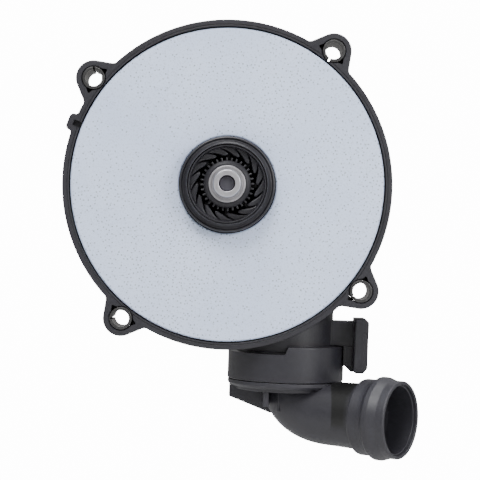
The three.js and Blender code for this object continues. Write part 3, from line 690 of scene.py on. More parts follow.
SEAL_SEAT_R = [18.6, 23]
SEAL_SEAT_Z = [-77.5, -75]
SHAFT_HOLE_R = 8
SCREW_HOLE_R = 2
GROOVE_COUNT = 8
GROOVE_STEP_DEG = 7.2
GROOVE_FIRST_DEG = 84
GROOVE_R = [18.8, 21]
GROOVE_Z = [55, 72.6]
GROOVE_HALF = 0.75


def geometry_nodes(name, sockets):
    """A new geometry tree with one input for each (name, kind), and the Nodes that fill it."""
    tree = bpy.data.node_groups.new(name, "GeometryNodeTree")
    tree.interface.new_socket("Mesh", in_out="INPUT", socket_type="NodeSocketGeometry")
    for label, kind in sockets:
        tree.interface.new_socket(label, in_out="INPUT", socket_type="NodeSocket" + kind)
    tree.interface.new_socket("Mesh", in_out="OUTPUT", socket_type="NodeSocketGeometry")
    nodes = Nodes(tree)
    return nodes, nodes.add("NodeGroupInput")


def finish_off(nodes, given, made):
    """Ends a geometry tree: its instances become real, and the finish is set on them."""
    solid = nodes.add("GeometryNodeRealizeInstances", inputs={"Geometry": made})
    painted = {"Geometry": solid, "Material": given.output("Finish")}
    painted = nodes.add("GeometryNodeSetMaterial", inputs=painted)
    nodes.add("NodeGroupOutput", inputs={"Mesh": painted})


def grown(name, tree, values):
    """The plain mesh that a geometry tree makes from those named values."""
    piece = bpy.data.objects.new(name, bpy.data.meshes.new(name))
    bpy.context.scene.collection.objects.link(piece)
    step = piece.modifiers.new("grown", "NODES")
    step.node_group = tree
    for item in tree.interface.items_tree:
        if item.in_out == "INPUT" and item.name in values:
            step[item.identifier] = values[item.name]
    return settle(piece)


nodes, given = geometry_nodes(
    "repeated_round_the_axis",
    [
        ("Piece", "Object"),
        ("Count", "Int"),
        ("Pitch radius", "Float"),
        ("First angle", "Float"),
        ("Step", "Float"),
        ("Along", "Float"),
        ("Finish", "Material"),
    ],
)
index = nodes.add("GeometryNodeInputIndex")
angle = given.output("First angle") + given.output("Step") * index
spot_x = given.output("Pitch radius") * angle.sum("COSINE")
spot_z = given.output("Pitch radius") * angle.sum("SINE")
spot_inputs = {0: spot_x, 1: given.output("Along"), 2: spot_z}
spot_at = nodes.add("ShaderNodeCombineXYZ", inputs=spot_inputs)
turn_by = nodes.add("ShaderNodeCombineXYZ", inputs={1: angle * -1.0})
points = {"Count": given.output("Count"), "Position": spot_at}
points = nodes.add("GeometryNodePoints", inputs=points)
source = {"Object": given.output("Piece")}
source = nodes.add("GeometryNodeObjectInfo", inputs=source, output="Geometry")
placed = nodes.add(
    "GeometryNodeInstanceOnPoints",
    inputs={"Points": points, "Instance": source, "Rotation": turn_by},
)
finish_off(nodes, given, placed)
repeat_tree = nodes.tree


def repeated(name, piece, count, first_deg, step_deg, finish, pitch_r=0, along=0):
    """Copies of a piece that points along +X, set round the rotor's axis as one mesh."""
    values = {"Piece": piece, "Count": count, "Pitch radius": pitch_r * MM, "Along": along * MM}
    values |= {"First angle": math.radians(first_deg), "Step": math.radians(step_deg)}
    ring = grown(name, repeat_tree, values | {"Finish": finish})
    bpy.data.objects.remove(piece)
    return ring


def scroll_outline(inset):
    """The scroll's spiral, clockwise from its tongue, and the throat down to the neck."""
    outline = []
    for i in range(SCROLL_STEPS + 1):
        share = i / SCROLL_STEPS
        r = SCROLL_R[0] + (SCROLL_R[1] - SCROLL_R[0]) * share - inset
        outline.append(polar(r, SCROLL_FIRST_DEG - SCROLL_TURN_DEG * share))
    right = SCROLL_R[1] - inset
    left = NECK_AXIS[0] - NECK_R + inset
    throat = rounded([(right, 0, 0), (right, THROAT_Z, 8), (left, THROAT_Z, 0)], 8)
    return outline + throat[1:]


def on_neck(name, profile, segments=96):
    return lathed(name, profile, segments, "Z", NECK_AXIS)


def ring_of(radii, heights):
    """A plain square-edged ring's profile."""
    (inner, outer), (low, high) = radii, heights
    return [(inner, low), (outer, low), (outer, high), (inner, high)]


low, high = FLANGE_Y
flange = [(30, low, 0), (FLANGE_R, low, 0.3), (FLANGE_R, high, 0.6), (30, high, 0)]
fan_housing = lathed("fan_housing_moulding", rounded(flange), 192)
shell_y = (FLANGE_Y[0] + 0.5, SCROLL_BACK_Y)
shell = slab("scroll", scroll_outline(0), *shell_y, (0, SCROLL_FILLET), steps=8)
neck = [(0, NECK_Z[0], 0), (NECK_R, NECK_Z[0], 0.5), (NECK_R, NECK_Z[1], 9), (0, NECK_Z[1], 0)]
r, low, high = NECK_RIDGE
ridge = [(18, low, 0), (r, low, 0.3), (r, high, 0.3), (18, high, 0)]
(inner, outer), (low, high) = MOTOR_SEAT_R, MOTOR_SEAT_Y
seat = [(inner, low, 0), (outer, low, 0), (outer, high, 0.5), (inner, high, 0.4)]
(inner, outer), (low, high) = PAD_R, PAD_Y
pad = [(inner, low, 0), (outer, low, 0), (outer, high, 0.3), (inner, high, 0)]
added = [shell, on_neck("neck", rounded(neck, 8)), on_neck("ridge", rounded(ridge))]
added += [lathed("seat", rounded(seat), 120), lathed("pad", rounded(pad), 96)]
rib = [(38, 14, 0), (64.6, 14, 0), (64.6, 16, 0.6), (56, 22, 4), (49, 34, 2), (38, 34, 0)]
for first in RIB_FIRST_DEG:
    piece = slab("rib", rounded(rib), -RIB_HALF, RIB_HALF, (0.25, 0.25), axis="Z")
    added.append(repeated("ribs", piece, RIB_COUNT, first, RIB_STEP_DEG, black_plastic))
added.append(block("rail_arm", *RAIL_ARM))
# A thin lip closes the gap between the rail's web and the outlet collar.
added.append(block("rail_lip", (NECK_AXIS[0] + 24.65, 56), RAIL_LIP_Y, (-76, -60), 0, 0))
left, right = RAIL_BAR_X
bar = [(left, -55, 0.4), (right - 1.5, -55, 0.4), (right, -56.5, 0.4)]
bar += [(right, RAIL_LOW_Z + 2.2, 1.4), (right - 1.9, RAIL_LOW_Z, 1.2)]
bar += [(left + 0.8, RAIL_LOW_Z, 0.8), (left, RAIL_LOW_Z + 0.8, 0.4)]
added.append(slab("rail_bar", rounded(bar), *RAIL_BAR_Y, (0.6, 0.6)))
left, right = RAIL_WEB_X
web = [(left, -57, 0.5), (right, -57, 0), (right, RAIL_LOW_Z, 0)]
web += [(left + 2.55, RAIL_LOW_Z, 0.8), (left, RAIL_LOW_Z + 2.4, 0.8)]
added.append(slab("rail_web", rounded(web), *RAIL_WEB_Y, (0.3, 0.3)))

chamber_y = (4, SCROLL_BACK_Y - SCROLL_WALL)
cut = [slab("chamber", scroll_outline(SCROLL_WALL), *chamber_y, (0, 3.5), steps=5)]
cut.append(drill("duct", NECK_BORE_R, (-80, -34), 96, "Z", NECK_AXIS))
cut.append(on_neck("seal_seat", ring_of(SEAL_SEAT_R, SEAL_SEAT_Z)))
cut.append(lathed("seal_groove", ring_of(SEAL_GROOVE_R, SEAL_GROOVE_Y), 120))
cut.append(drill("shaft_hole", SHAFT_HOLE_R, (38, 50), 48))
for angle in SCREW_ANGLES:
    cut.append(drill("hole", SCREW_HOLE_R, (10, 18), centre=polar(SCREW_PITCH_R, angle)))
for angle in MOTOR_SCREW_ANGLES:
    at = polar(MOTOR_SCREW_PITCH_R, angle)
    cut.append(drill("hole", SCREW_HOLE_R - 0.1, (38, 50), centre=at))
groove = slab("groove", ring_of(GROOVE_R, GROOVE_Z), -GROOVE_HALF, GROOVE_HALF, (0, 0), axis="Z")
spacing = (GROOVE_COUNT, GROOVE_FIRST_DEG, GROOVE_STEP_DEG)
grooves = repeated("grooves", groove, *spacing, black_plastic)
upright = Matrix.Translation(Vector((*NECK_AXIS, 0)) * MM) @ Matrix.Rotation(math.pi / -2, 4, "X")
grooves.data.transform(upright)
cut.append(grooves)
facet = [(63.4, 11.5), (63.4, 15.2), (59.8, 11.5)]
cut.append(slab("rail_facet", facet, -79, -61, (0, 0), axis="Z"))
shaped(fan_housing, added, cut)
fit(fan_housing, black_plastic, "housing", ["fan_housing"])


# Seals. Two black rubber rings: one lies in the flange's groove and is squeezed by the rib of the
# inlet housing, the other sits in the neck's seat and rubs in the outlet collar.
HOUSING_SEAL_R = [47.6, 50]
HOUSING_SEAL_Y = [12, 13.3]
OUTLET_SEAL_R = [18.9, 21.7]
OUTLET_SEAL_Z = [-77.2, -75.3]


def seal_ring(name, inner, outer, low, high, axis="Y", centre=(0, 0)):
    """A ring of rubber cord, a little flattened by its seat."""
    bulge = min(outer - inner, high - low) * 0.42
    corners = [(inner, low), (outer, low), (outer, high), (inner, high)]
    profile = rounded([(r, at, bulge) for r, at in corners], 6)
    return lathed(name, profile, 120, axis, centre)


rubber, nodes, sockets = plain_finish("black_nitrile_rubber", (0.018, 0.018, 0.019), 0.62)
place = nodes.add("ShaderNodeTexCoord", output=3)
bloom = nodes.noise(place, 180.0, 4.0)
nodes.feed(sockets["Roughness"], bloom * 0.3 + 0.45)
stops = [(0.35, (0.014, 0.014, 0.015)), (0.7, (0.027, 0.027, 0.028))]
nodes.feed(sockets["Base Color"], nodes.ramp(stops, bloom))
nodes.feed(sockets["Normal"], nodes.bump(bloom, 0.3, 0.00004))

housing_seal = seal_ring("housing_seal_ring", *HOUSING_SEAL_R, *HOUSING_SEAL_Y)
fit(housing_seal, rubber, "housing", ["housing_seal"])
sizes = (*OUTLET_SEAL_R, *OUTLET_SEAL_Z)
outlet_seal = seal_ring("outlet_seal_ring", *sizes, "Z", NECK_AXIS)
fit(outlet_seal, rubber, "housing", ["outlet_seal"])


# Screws. Thread-forming steel screws with low pan heads and a six-lobed socket: six pull the two
# mouldings together from behind, and three inside the fan chamber hold the motor's end plate.
SCREW_R = 1.5
POINT_LENGTH = 1.4
HEAD_SKIRT = 1.3
HEAD_HEIGHT = 2.4
SOCKET_LOBES = 6
SOCKET_FLOOR = 0.9
HOUSING_SCREW = [3.6, 8]
HOUSING_SCREW_Y = 15.2
MOTOR_SCREW = [3.4, 5.2]
MOTOR_SCREW_Y = 43.3


def pan_screw(head_r, length):
    """A screw along +Y with its head at the far end, the underside of which is at the origin."""
    profile = rounded(
        [
            (0, -length, 0),
            (0.5, -length, 0.2),
            (SCREW_R, -length + POINT_LENGTH, 0),
            (SCREW_R, 0, 0.2),
            (head_r, 0, 0.25),
            (head_r, HEAD_SKIRT, 1.0),
            (head_r * 0.62, HEAD_HEIGHT, 1.5),
            (0, HEAD_HEIGHT, 0),
        ],
        4,
    )
    screw = lathed("screw", profile, 36)
    lobes = []
    for i in range(48):
        at = 360 * i / 48
        lobe = math.cos(math.radians(at * SOCKET_LOBES))
        lobes.append(polar(head_r * (0.44 + 0.07 * lobe), at))
    return shaped(screw, cut=[slab("socket", lobes, SOCKET_FLOOR, 3, (0.15, 0))])


zinc_grey = (0.52, 0.53, 0.54)
screw_steel, nodes, sockets = plain_finish("zinc_plated_screw", zinc_grey, 0.3, Metallic=1.0)
place = nodes.add("ShaderNodeTexCoord", output=3)
plating = nodes.noise(place, 900.0, 3.0)
stops = [(0.3, (0.42, 0.43, 0.44)), (0.75, (0.62, 0.63, 0.64))]
nodes.feed(sockets["Base Color"], nodes.ramp(stops, plating))
nodes.feed(sockets["Roughness"], plating * 0.25 + 0.2)
nodes.feed(sockets["Normal"], nodes.bump(plating, 0.25, 0.00002))

nodes, given = geometry_nodes(
    "set_on_points",
    [("Piece", "Object"), ("Spots", "Object"), ("Finish", "Material")],
)
spots, source = (
    nodes.add("GeometryNodeObjectInfo", inputs={"Object": given.output(label)}, output="Geometry")
    for label in ("Spots", "Piece")
)
placed = {"Points": spots, "Instance": source}
placed = nodes.add("GeometryNodeInstanceOnPoints", inputs=placed)
finish_off(nodes, given, placed)
spot_tree = nodes.tree


def screws(name, head_r, length, pitch_r, angles, seat_y, facing, node):
    """One mesh of screws at those angles, their heads towards facing, 1 for the motor's side."""
    spots = bpy.data.objects.new("spots", bpy.data.meshes.new("spots"))
    at = [polar(pitch_r, angle) for angle in angles]
    spots.data.from_pydata([Vector((x, seat_y, z)) * MM for x, z in at], [], [])
    bpy.context.scene.collection.objects.link(spots)
    screw = pan_screw(head_r, length)
    if facing < 0:
        screw.data.transform(Matrix.Rotation(math.pi, 4, "X"))
    values = {"Piece": screw, "Spots": spots, "Finish": screw_steel}
    ring = grown(name, spot_tree, values)
    for tool in (screw, spots):
        bpy.data.objects.remove(tool)
    replaced = [f"{node}_{i + 1}" for i in range(len(angles))]
    return fit(ring, screw_steel, "housing", replaced)


spread = (SCREW_PITCH_R, SCREW_ANGLES, HOUSING_SCREW_Y)
screws("housing_screws", *HOUSING_SCREW, *spread, 1, "housing_screw")
spread = (MOTOR_SCREW_PITCH_R, MOTOR_SCREW_ANGLES, MOTOR_SCREW_Y)
screws("motor_screws", *MOTOR_SCREW, *spread, -1, "motor_screw")


# Outlet collar. A smooth black nylon cup that snaps over the ridge on the neck and turns on it.
# Its wall is cut lower on one side, where the housing's rim passes, with a sloped step between.
CUP_R = 25.2
CUP_WALL = 3.2
CUP_Z = [-82.8, -67.6]
CUP_LOW_Z = -70.9
STEP_TOP_X = 28.4
STEP_FOOT_X = 26.9

satin_plastic = moulded_plastic("black_nylon_satin", 0.021, 0.36, 0.16)
cup = [
    (CUP_R - CUP_WALL, CUP_Z[0] + 2.4, 0.4),
    (CUP_R - CUP_WALL, CUP_Z[1] - 2.2, 0.4),
    (NECK_R + 0.45, CUP_Z[1] - 2.2, 0.3),
    (NECK_R + 0.45, CUP_Z[1], 0.3),
    (CUP_R, CUP_Z[1], 0.55),
    (CUP_R, CUP_Z[0], 0.35),
    (NECK_R - 0.5, CUP_Z[0], 0.3),
    (NECK_R - 0.5, CUP_Z[0] + 2.4, 0.3),
]
outlet_collar = on_neck("outlet_collar_cup", rounded(cup), 160)
low_side = [
    (-10, -60, 0),
    (-10, CUP_LOW_Z, 0),
    (STEP_FOOT_X, CUP_LOW_Z, 0.7),
    (STEP_TOP_X, -67, 0),
    (STEP_TOP_X, -60, 0),
]
shaped(outlet_collar, cut=[slab("low_side", rounded(low_side), -10, 60, (0, 0))])
fit(outlet_collar, satin_plastic, "outlet", ["outlet_collar"])


# Outlet elbow. A black nylon bend that is welded under the collar. It turns the air from straight
# down to sideways and towards the inlet side, and ends in a hose spigot with a small ridge, a
# round bead and a thin lip. A flat web and two short ribs stiffen the flange beside the bend.
# It is drawn with its mouth towards +X, and then turned about the neck's axis to its place.
ELBOW_YAW = 33
WELD_Z = [-85.8, -83.1]
WELD_R = 25
BACK_STEP_R = 21.6
BACK_STEP_Z = -87.3
SPIGOT_Z = -96
BEND_R = 15.5
BEND_START = 8.5
HEEL = [(3, -80), (3.5, -96), (24, -96)]
HEEL_STEPS = 14
SPIGOT_END = 57.3
SPIGOT_R = 16.1
SPIGOT_BORE_R = 12.9
SPIGOT_STEP = 39.8
BEAD_X = [47.6, 49.9]
BEAD_R = 17.6
HOSE_BORE_R = [13.9, 14.2]
WEB_EDGE_X = -24.3
WEB_HALF = 1.2
POST = [(-9.6, -7.2), (-19, 0), (-93.6, -84.5)]
THIN_RIB = [(-3.3, -2.6), (-14, 0), (-96, -84.5)]
# Left and lower edges of the painted shade patch on the front of the pipe, before the spigot step.
SHADE_PATCH_LEFT_X = 46.7
SHADE_PATCH_LOW_Z = -102
MOUTH_BORE_R = 14.9
MOUTH_STEP = 55.6


def bend_station(degrees, r):
    """A round section on the bend, degrees round from straight down to level."""
    turn = math.radians(degrees)
    x = BEND_START + BEND_R * (1 - math.cos(turn))
    z = SPIGOT_Z + BEND_R * (1 - math.sin(turn))
    return x, z, turn, r


def pipe(name, stations, segments=72):
    """A solid of round sections (x, z, heading below the horizon, radius) in the bend's plane."""
    rings = []
    for x, z, turn, r in stations:
        across = (math.cos(turn), math.sin(turn))
        ring = []
        for side, up in circle(r, segments):
            ring.append((x + up * across[0], side, z + up * across[1]))
        rings.append(ring)
    for end in (rings[0], rings[-1]):
        middle = sum((Vector(p) for p in end), Vector()) / segments
        rings.insert(0 if end is rings[0] else len(rings), [middle] * segments)
    return skin(name, rings, closed=False)


def level(x, r):
    return x, SPIGOT_Z, math.pi / 2, r


def heel_station(share):
    """A section of the outside, which bulges past the bend and fills its outer corner."""
    start, corner, end = (Vector(point) for point in HEEL)
    near, far = corner - start, end - corner
    heading = near.lerp(far, share)
    x, z = (start + near * share).lerp(corner + far * share, share)
    return x, z, math.atan2(heading[0], -heading[1]), 13.2 + 0.45 * share


spigot = rounded(
    [
        (28.2, 13.7, 0),
        (SPIGOT_STEP - 0.2, 14.1, 0.3),
        (SPIGOT_STEP, SPIGOT_R - 0.2, 0.3),
        (SPIGOT_STEP + 0.8, SPIGOT_R + 0.05, 0.8),
        (BEAD_X[0] - 3.2, SPIGOT_R, 2),
        (BEAD_X[0] - 1.4, SPIGOT_R + 0.2, 1.5),
        (BEAD_X[0], BEAD_R, 1.1),
        (BEAD_X[1], BEAD_R, 1.4),
        (BEAD_X[1] + 3.5, SPIGOT_R + 0.3, 2.2),
        (SPIGOT_END, SPIGOT_R + 0.3, 0.6),
        (SPIGOT_END, 0, 0),
        (28.2, 0, 0),
    ]
)
spigot_outside = [point for point in spigot if point[1] > 1]
stations = [heel_station(i / HEEL_STEPS) for i in range(HEEL_STEPS + 1)]
stations += [level(*point) for point in spigot_outside]
outlet_elbow = pipe("outlet_elbow_pipe", stations)
weld = [
    (0, WELD_Z[1], 0),
    (WELD_R, WELD_Z[1], 0.25),
    (WELD_R, WELD_Z[0] + 1.1, 0.5),
    (WELD_R - 1.1, WELD_Z[0], 0.5),
    (BACK_STEP_R + 0.3, WELD_Z[0], 0.5),
    (BACK_STEP_R, BACK_STEP_Z, 0.4),
    (0, BACK_STEP_Z, 0),
]
weld_ring = lathed("weld_ring", rounded(weld), 160, "Z")
above = block("above", (-10, WELD_R + 0.6), (-30, 30), (WELD_Z[1] - 0.6, -60))
shaped(outlet_elbow, cut=[above])
web_outline = [
    (WEB_EDGE_X, -84, 0),
    (WEB_EDGE_X, -91.2, 0.8),
    (-6.4, -97.9, 0.5),
    (0, -98.3, 0),
    (0, -84, 0),
]
web = slab("web", rounded(web_outline), -WEB_HALF, WEB_HALF, (0.35, 0.35))
post = block("post", *POST)
thin_rib = block("thin_rib", *THIN_RIB, 0.2, 0.2)
added = [turned(tool, ELBOW_YAW, "Z") for tool in (web, post, thin_rib)]
bend_bore = SPIGOT_BORE_R - 0.9
channel = [(BEND_START, -70, 0, SPIGOT_BORE_R), bend_station(0, SPIGOT_BORE_R)]
channel += [bend_station(degrees, bend_bore) for degrees in (15, 30, 45, 60, 75, 90)]
mouth = [
    (30, bend_bore, 0),
    (38, bend_bore, 0),
    (40, SPIGOT_BORE_R, 0),
    (44, HOSE_BORE_R[0], 2),
    (MOUTH_STEP, HOSE_BORE_R[1], 0.2),
    (MOUTH_STEP + 0.2, MOUTH_BORE_R, 0.2),
]
lip = [(56.4, MOUTH_BORE_R, 0), (56.9, MOUTH_BORE_R, 0.4), (58, MOUTH_BORE_R + 0.7, 0)]
channel += [level(*point) for point in rounded(mouth) + rounded(lip)[:-1]]
channel.append(level(58.2, MOUTH_BORE_R + 0.7))
shaped(outlet_elbow, [weld_ring, *added], [pipe("channel", channel)])
turned(outlet_elbow, -ELBOW_YAW, "Z", (*NECK_AXIS, 0))

elbow_plastic = moulded_plastic("black_nylon_elbow", 0.025, 0.47, 0.22)
nodes = Nodes(elbow_plastic.node_tree)
tint = elbow_plastic.node_tree.nodes["Principled BSDF"].inputs["Base Color"]
plain = Value(nodes, tint.links[0].from_socket)
place = nodes.add("ShaderNodeTexCoord", output=3)
parts = nodes.add("ShaderNodeSeparateXYZ", inputs={0: place})
x, y, z = parts.output("X") / MM, parts.output("Y") / MM, parts.output("Z") / MM
turn = math.radians(ELBOW_YAW)
along = (x - NECK_AXIS[0]) * math.cos(turn) - (y - NECK_AXIS[1]) * math.sin(turn)
# Painted shade: a near-black patch on the front of the pipe before the spigot step. It is sharp at its
# left edge and fades out towards the step and downwards.
painted_shade_patch = ((x - SHADE_PATCH_LEFT_X) * 3).sum("MINIMUM", (SPIGOT_STEP - along) * 0.35)
painted_shade_patch = painted_shade_patch.sum("MINIMUM", (z - SHADE_PATCH_LOW_Z) * 0.3).sum("MINIMUM", 12 - y)
painted_shade_patch = painted_shade_patch.sum("MINIMUM", 1.0).sum("MAXIMUM", 0.0)
inputs = {0: painted_shade_patch, 6: plain, 7: (0.002, 0.002, 0.002, 1)}
nodes.feed(tint, nodes.add("ShaderNodeMix", {"data_type": "RGBA"}, inputs, output=2))
fit(outlet_elbow, elbow_plastic, "outlet", ["outlet_elbow"])


# Rotor. On the motor's steel shaft sit, from the inlet side, a turned cap nut, a washer, the
# separator wheel, whose sixteen curved vanes spin dust back out of the air, and the impeller.
# The wheels are black nylon; the nut and the washer are bright turned steel.
SHAFT_R = 4
SHAFT_Y = [-11, 108.8]
WASHER_R = 7.75
WASHER_Y = [-8.8, -7.5]
NUT_R = 5.8
NUT_Y = [-16, -9.1]
NUT_BORE_R = 3.4
NUT_BORE_Y = -12.7
HUB_R = 9.9
HUB_Y = [-7.2, 5]
VANE_COUNT = 16
VANE_R = [11.9, 15.9]
VANE_SWEEP_DEG = 24
VANE_HALF_DEG = [6.8, 12]
VANE_NOSE = 0.28
VANE_Y = [-5.4, 4.4]
RING_R = [15.2, 16.35]
RING_FRONT_Y = -8.3
SPOKE_COUNT = 8
NUB_COUNT = 32
NUB_R = (9.2, 11.3)
NUB_HALF = 0.42
IMPELLER_R = 37
IMPELLER_Y = [5.4, 48.3]
BLADE_COUNT = 14
BLADE_INNER_R = 15
BLADE_SWEEP_DEG = 32
BLADE_HALF = 0.65
WHEEL_PLATE_Y = 30


def turned_steel(name, light, dark, roughness, ring_pitch):
    """Steel off a lathe: fine rings round the rotor's axis that shimmer a little."""
    finish, nodes, sockets = plain_finish(name, light, roughness, Metallic=1.0)
    place = nodes.add("ShaderNodeTexCoord", output=3)
    parts = nodes.add("ShaderNodeSeparateXYZ", inputs={0: place})
    x, z = parts.output("X"), parts.output("Z")
    radius = (x * x + z * z).sum("SQRT") / (ring_pitch * MM)
    along = parts.output("Y") / (ring_pitch * MM)
    rings = nodes.add("ShaderNodeCombineXYZ", inputs={0: radius, 1: along})
    tool_marks = nodes.noise(rings, 1.0, 2.0)
    smears = nodes.noise(place, 320.0, 3.0)
    stops = [(0.3, dark), (0.7, light)]
    mixed = tool_marks * 0.55 + smears * 0.45
    nodes.feed(sockets["Base Color"], nodes.ramp(stops, mixed))
    nodes.feed(sockets["Roughness"], mixed * 0.3 + (roughness - 0.15))
    nodes.feed(sockets["Normal"], nodes.bump(tool_marks, 0.4, 0.00003))
    return finish


bright, dull = (0.7, 0.69, 0.72), (0.56, 0.55, 0.58)
bright_steel = turned_steel("turned_bright_steel", bright, dull, 0.36, 0.16)
bright, dull = (0.5, 0.5, 0.5), (0.38, 0.38, 0.38)
ground_steel = turned_steel("ground_shaft_steel", bright, dull, 0.28, 0.1)

shaft = rounded([(0, -11, 0), (SHAFT_R, -11, 0.5), (SHAFT_R, SHAFT_Y[1], 0.5), (0, SHAFT_Y[1], 0)])
fit(lathed("rotor_shaft", shaft, 72), ground_steel, "rotor", ["motor_shaft"])
washer = [
    (SHAFT_R + 0.3, WASHER_Y[0], 0.1),
    (6.45, WASHER_Y[0], 0),
    (6.55, WASHER_Y[0] + 0.18, 0),
    (6.7, WASHER_Y[0] + 0.18, 0),
    (6.8, WASHER_Y[0], 0),
    (WASHER_R, WASHER_Y[0], 0.25),
    (WASHER_R, WASHER_Y[1], 0.25),
    (SHAFT_R + 0.3, WASHER_Y[1], 0.1),
]
washer = lathed("rotor_washer_ring", rounded(washer), 128)
# Painted shade: the washer's steel is set darker than the nut's, standing in for the shade round the nut.
bright, dull = (0.48, 0.47, 0.49), (0.36, 0.35, 0.37)
washer_steel_painted_shade = turned_steel("stamped_washer_steel", bright, dull, 0.42, 0.24)
fit(washer, washer_steel_painted_shade, "rotor", ["rotor_washer"])
nut = [
    (0, NUT_BORE_Y, 0),
    (NUT_BORE_R - 0.6, NUT_BORE_Y, 0),
    (NUT_BORE_R - 0.35, NUT_BORE_Y + 0.35, 0.1),
    (NUT_BORE_R, NUT_BORE_Y + 0.35, 0.1),
    (NUT_BORE_R, NUT_Y[0], 0.2),
    (NUT_R - 0.35, NUT_Y[0], 0.3),
    (NUT_R, NUT_Y[0] + 0.7, 0.3),
    (NUT_R, NUT_Y[1] - 0.9, 0.1),
    (NUT_R - 0.5, NUT_Y[1] - 0.6, 0.1),
    (NUT_R - 0.5, NUT_Y[1], 0.1),
    (SHAFT_R + 0.3, NUT_Y[1], 0.1),
    (SHAFT_R + 0.3, SHAFT_Y[0] - 0.3, 0),
    (0, SHAFT_Y[0] - 0.3, 0),
]
nut = lathed("rotor_cap_nut", rounded(nut), 128)
fit(nut, bright_steel, "rotor", ["rotor_nut"])
# Painted shade: a dark grey disc laid on the floor of the nut's recess, so that the recess reads dark.
recess_shade_plastic = moulded_plastic("grey_lock_nylon", 0.044, 0.5, 0.3)
low, high = NUT_BORE_Y - 0.9, NUT_BORE_Y - 0.05
plug = [(0, low, 0), (NUT_BORE_R - 0.4, low, 0.3), (NUT_BORE_R - 0.1, high, 0), (0, high, 0)]
plug = lathed("nut_lock_plug", rounded(plug), 64)
fit(plug, recess_shade_plastic, "rotor")


def vane_outline():
    """A vane like a petal: a round nose near the hub, swept and widening out to the ring."""
    near, far = [], []
    steps = 9
    for i in range(steps + 1):
        share = i / steps
        r = VANE_R[0] + (VANE_R[1] - VANE_R[0]) * share
        nose = math.sqrt(1 - (1 - min(share / VANE_NOSE, 1)) ** 2)
        half = nose * (VANE_HALF_DEG[0] + (VANE_HALF_DEG[1] - VANE_HALF_DEG[0]) * share)
        middle = VANE_SWEEP_DEG * share**1.15
        near.append(polar(r, middle - half))
        far.append(polar(r, middle + half))
    return near + far[:0:-1]


hub = [
    (SHAFT_R + 0.3, HUB_Y[0], 0.1),
    (8.6, HUB_Y[0], 0.3),
    (HUB_R, HUB_Y[0] + 1.0, 0.9),
    (HUB_R, HUB_Y[1], 0.3),
    (SHAFT_R + 0.3, HUB_Y[1], 0.3),
]
separator = lathed("separator_wheel_moulding", rounded(hub), 128)
inner, outer = RING_R
ring = [(inner, -6.0, 0.2), (inner + 0.5, RING_FRONT_Y, 0.2), (outer, RING_FRONT_Y, 0.2)]
ring = rounded([*ring, (outer, HUB_Y[1], 0.3), (inner - 0.1, HUB_Y[1], 0.3)])
vane = slab("vane", vane_outline(), *VANE_Y, (0.55, 0.3), steps=4)
vanes = repeated("vanes", vane, VANE_COUNT, 4, 360 / VANE_COUNT, black_plastic)
spoke = block("spoke", (8, 15.5), (2.2, 4.9), (-0.9, 0.9))
spokes = repeated("spokes", spoke, SPOKE_COUNT, 0, 360 / SPOKE_COUNT, black_plastic)
nub = block("nub", NUB_R, (-4.6, 2), (-NUB_HALF, NUB_HALF))
nubs = repeated("nubs", nub, NUB_COUNT, 3, 360 / NUB_COUNT, black_plastic)
shaped(separator, [lathed("ring", ring, 128), vanes, spokes, nubs])
fit(separator, black_plastic, "rotor", ["separator_wheel"])

hub = [
    (SHAFT_R + 0.3, IMPELLER_Y[0], 0.2),
    (8, IMPELLER_Y[0], 0.5),
    (10, 18, 6),
    (16, WHEEL_PLATE_Y - 0.6, 5),
    (IMPELLER_R, WHEEL_PLATE_Y - 0.3, 0.4),
    (IMPELLER_R, WHEEL_PLATE_Y + 1.8, 0.5),
    (12, WHEEL_PLATE_Y + 2, 2),
    (8, 40, 3),
    (6.6, IMPELLER_Y[1], 0.4),
    (SHAFT_R + 0.3, IMPELLER_Y[1], 0.2),
]
impeller = lathed("impeller_moulding", rounded(hub), 128)
near, far = [], []
for i in range(13):
    r = BLADE_INNER_R + (IMPELLER_R - BLADE_INNER_R - 0.2) * i / 12
    middle = BLADE_SWEEP_DEG * i / 12
    half = math.degrees(BLADE_HALF / r)
    near.append(polar(r, middle - half))
    far.append(polar(r, middle + half))
blade = slab("blade", near + far[::-1], 8, WHEEL_PLATE_Y + 0.5, (0.35, 0))
blades = repeated("blades", blade, BLADE_COUNT, 0, 360 / BLADE_COUNT, black_plastic)
shaped(impeller, [blades])
fit(impeller, black_plastic, "rotor", ["impeller"])


# Ball bearings. A small deep-groove bearing stands at each end of the motor. The inner ring turns
# with the shaft, the outer ring sits in its seat, and seven balls in a riveted cage roll between.
FRONT_BEARING_Y = [49.4, 56]
REAR_BEARING_Y = [102.6, 109.2]
INNER_RACE_R = [4.3, 5.9]
OUTER_RACE_R = [9.1, 10.9]
BALL_COUNT = 7
BALL_PITCH_R = 7.5
BALL_R = 1.4
BALL_STEPS = 12
CAGE_R = [6.95, 8.05]
CAGE_HALF = 0.8
GROOVE_DEPTH = 0.45

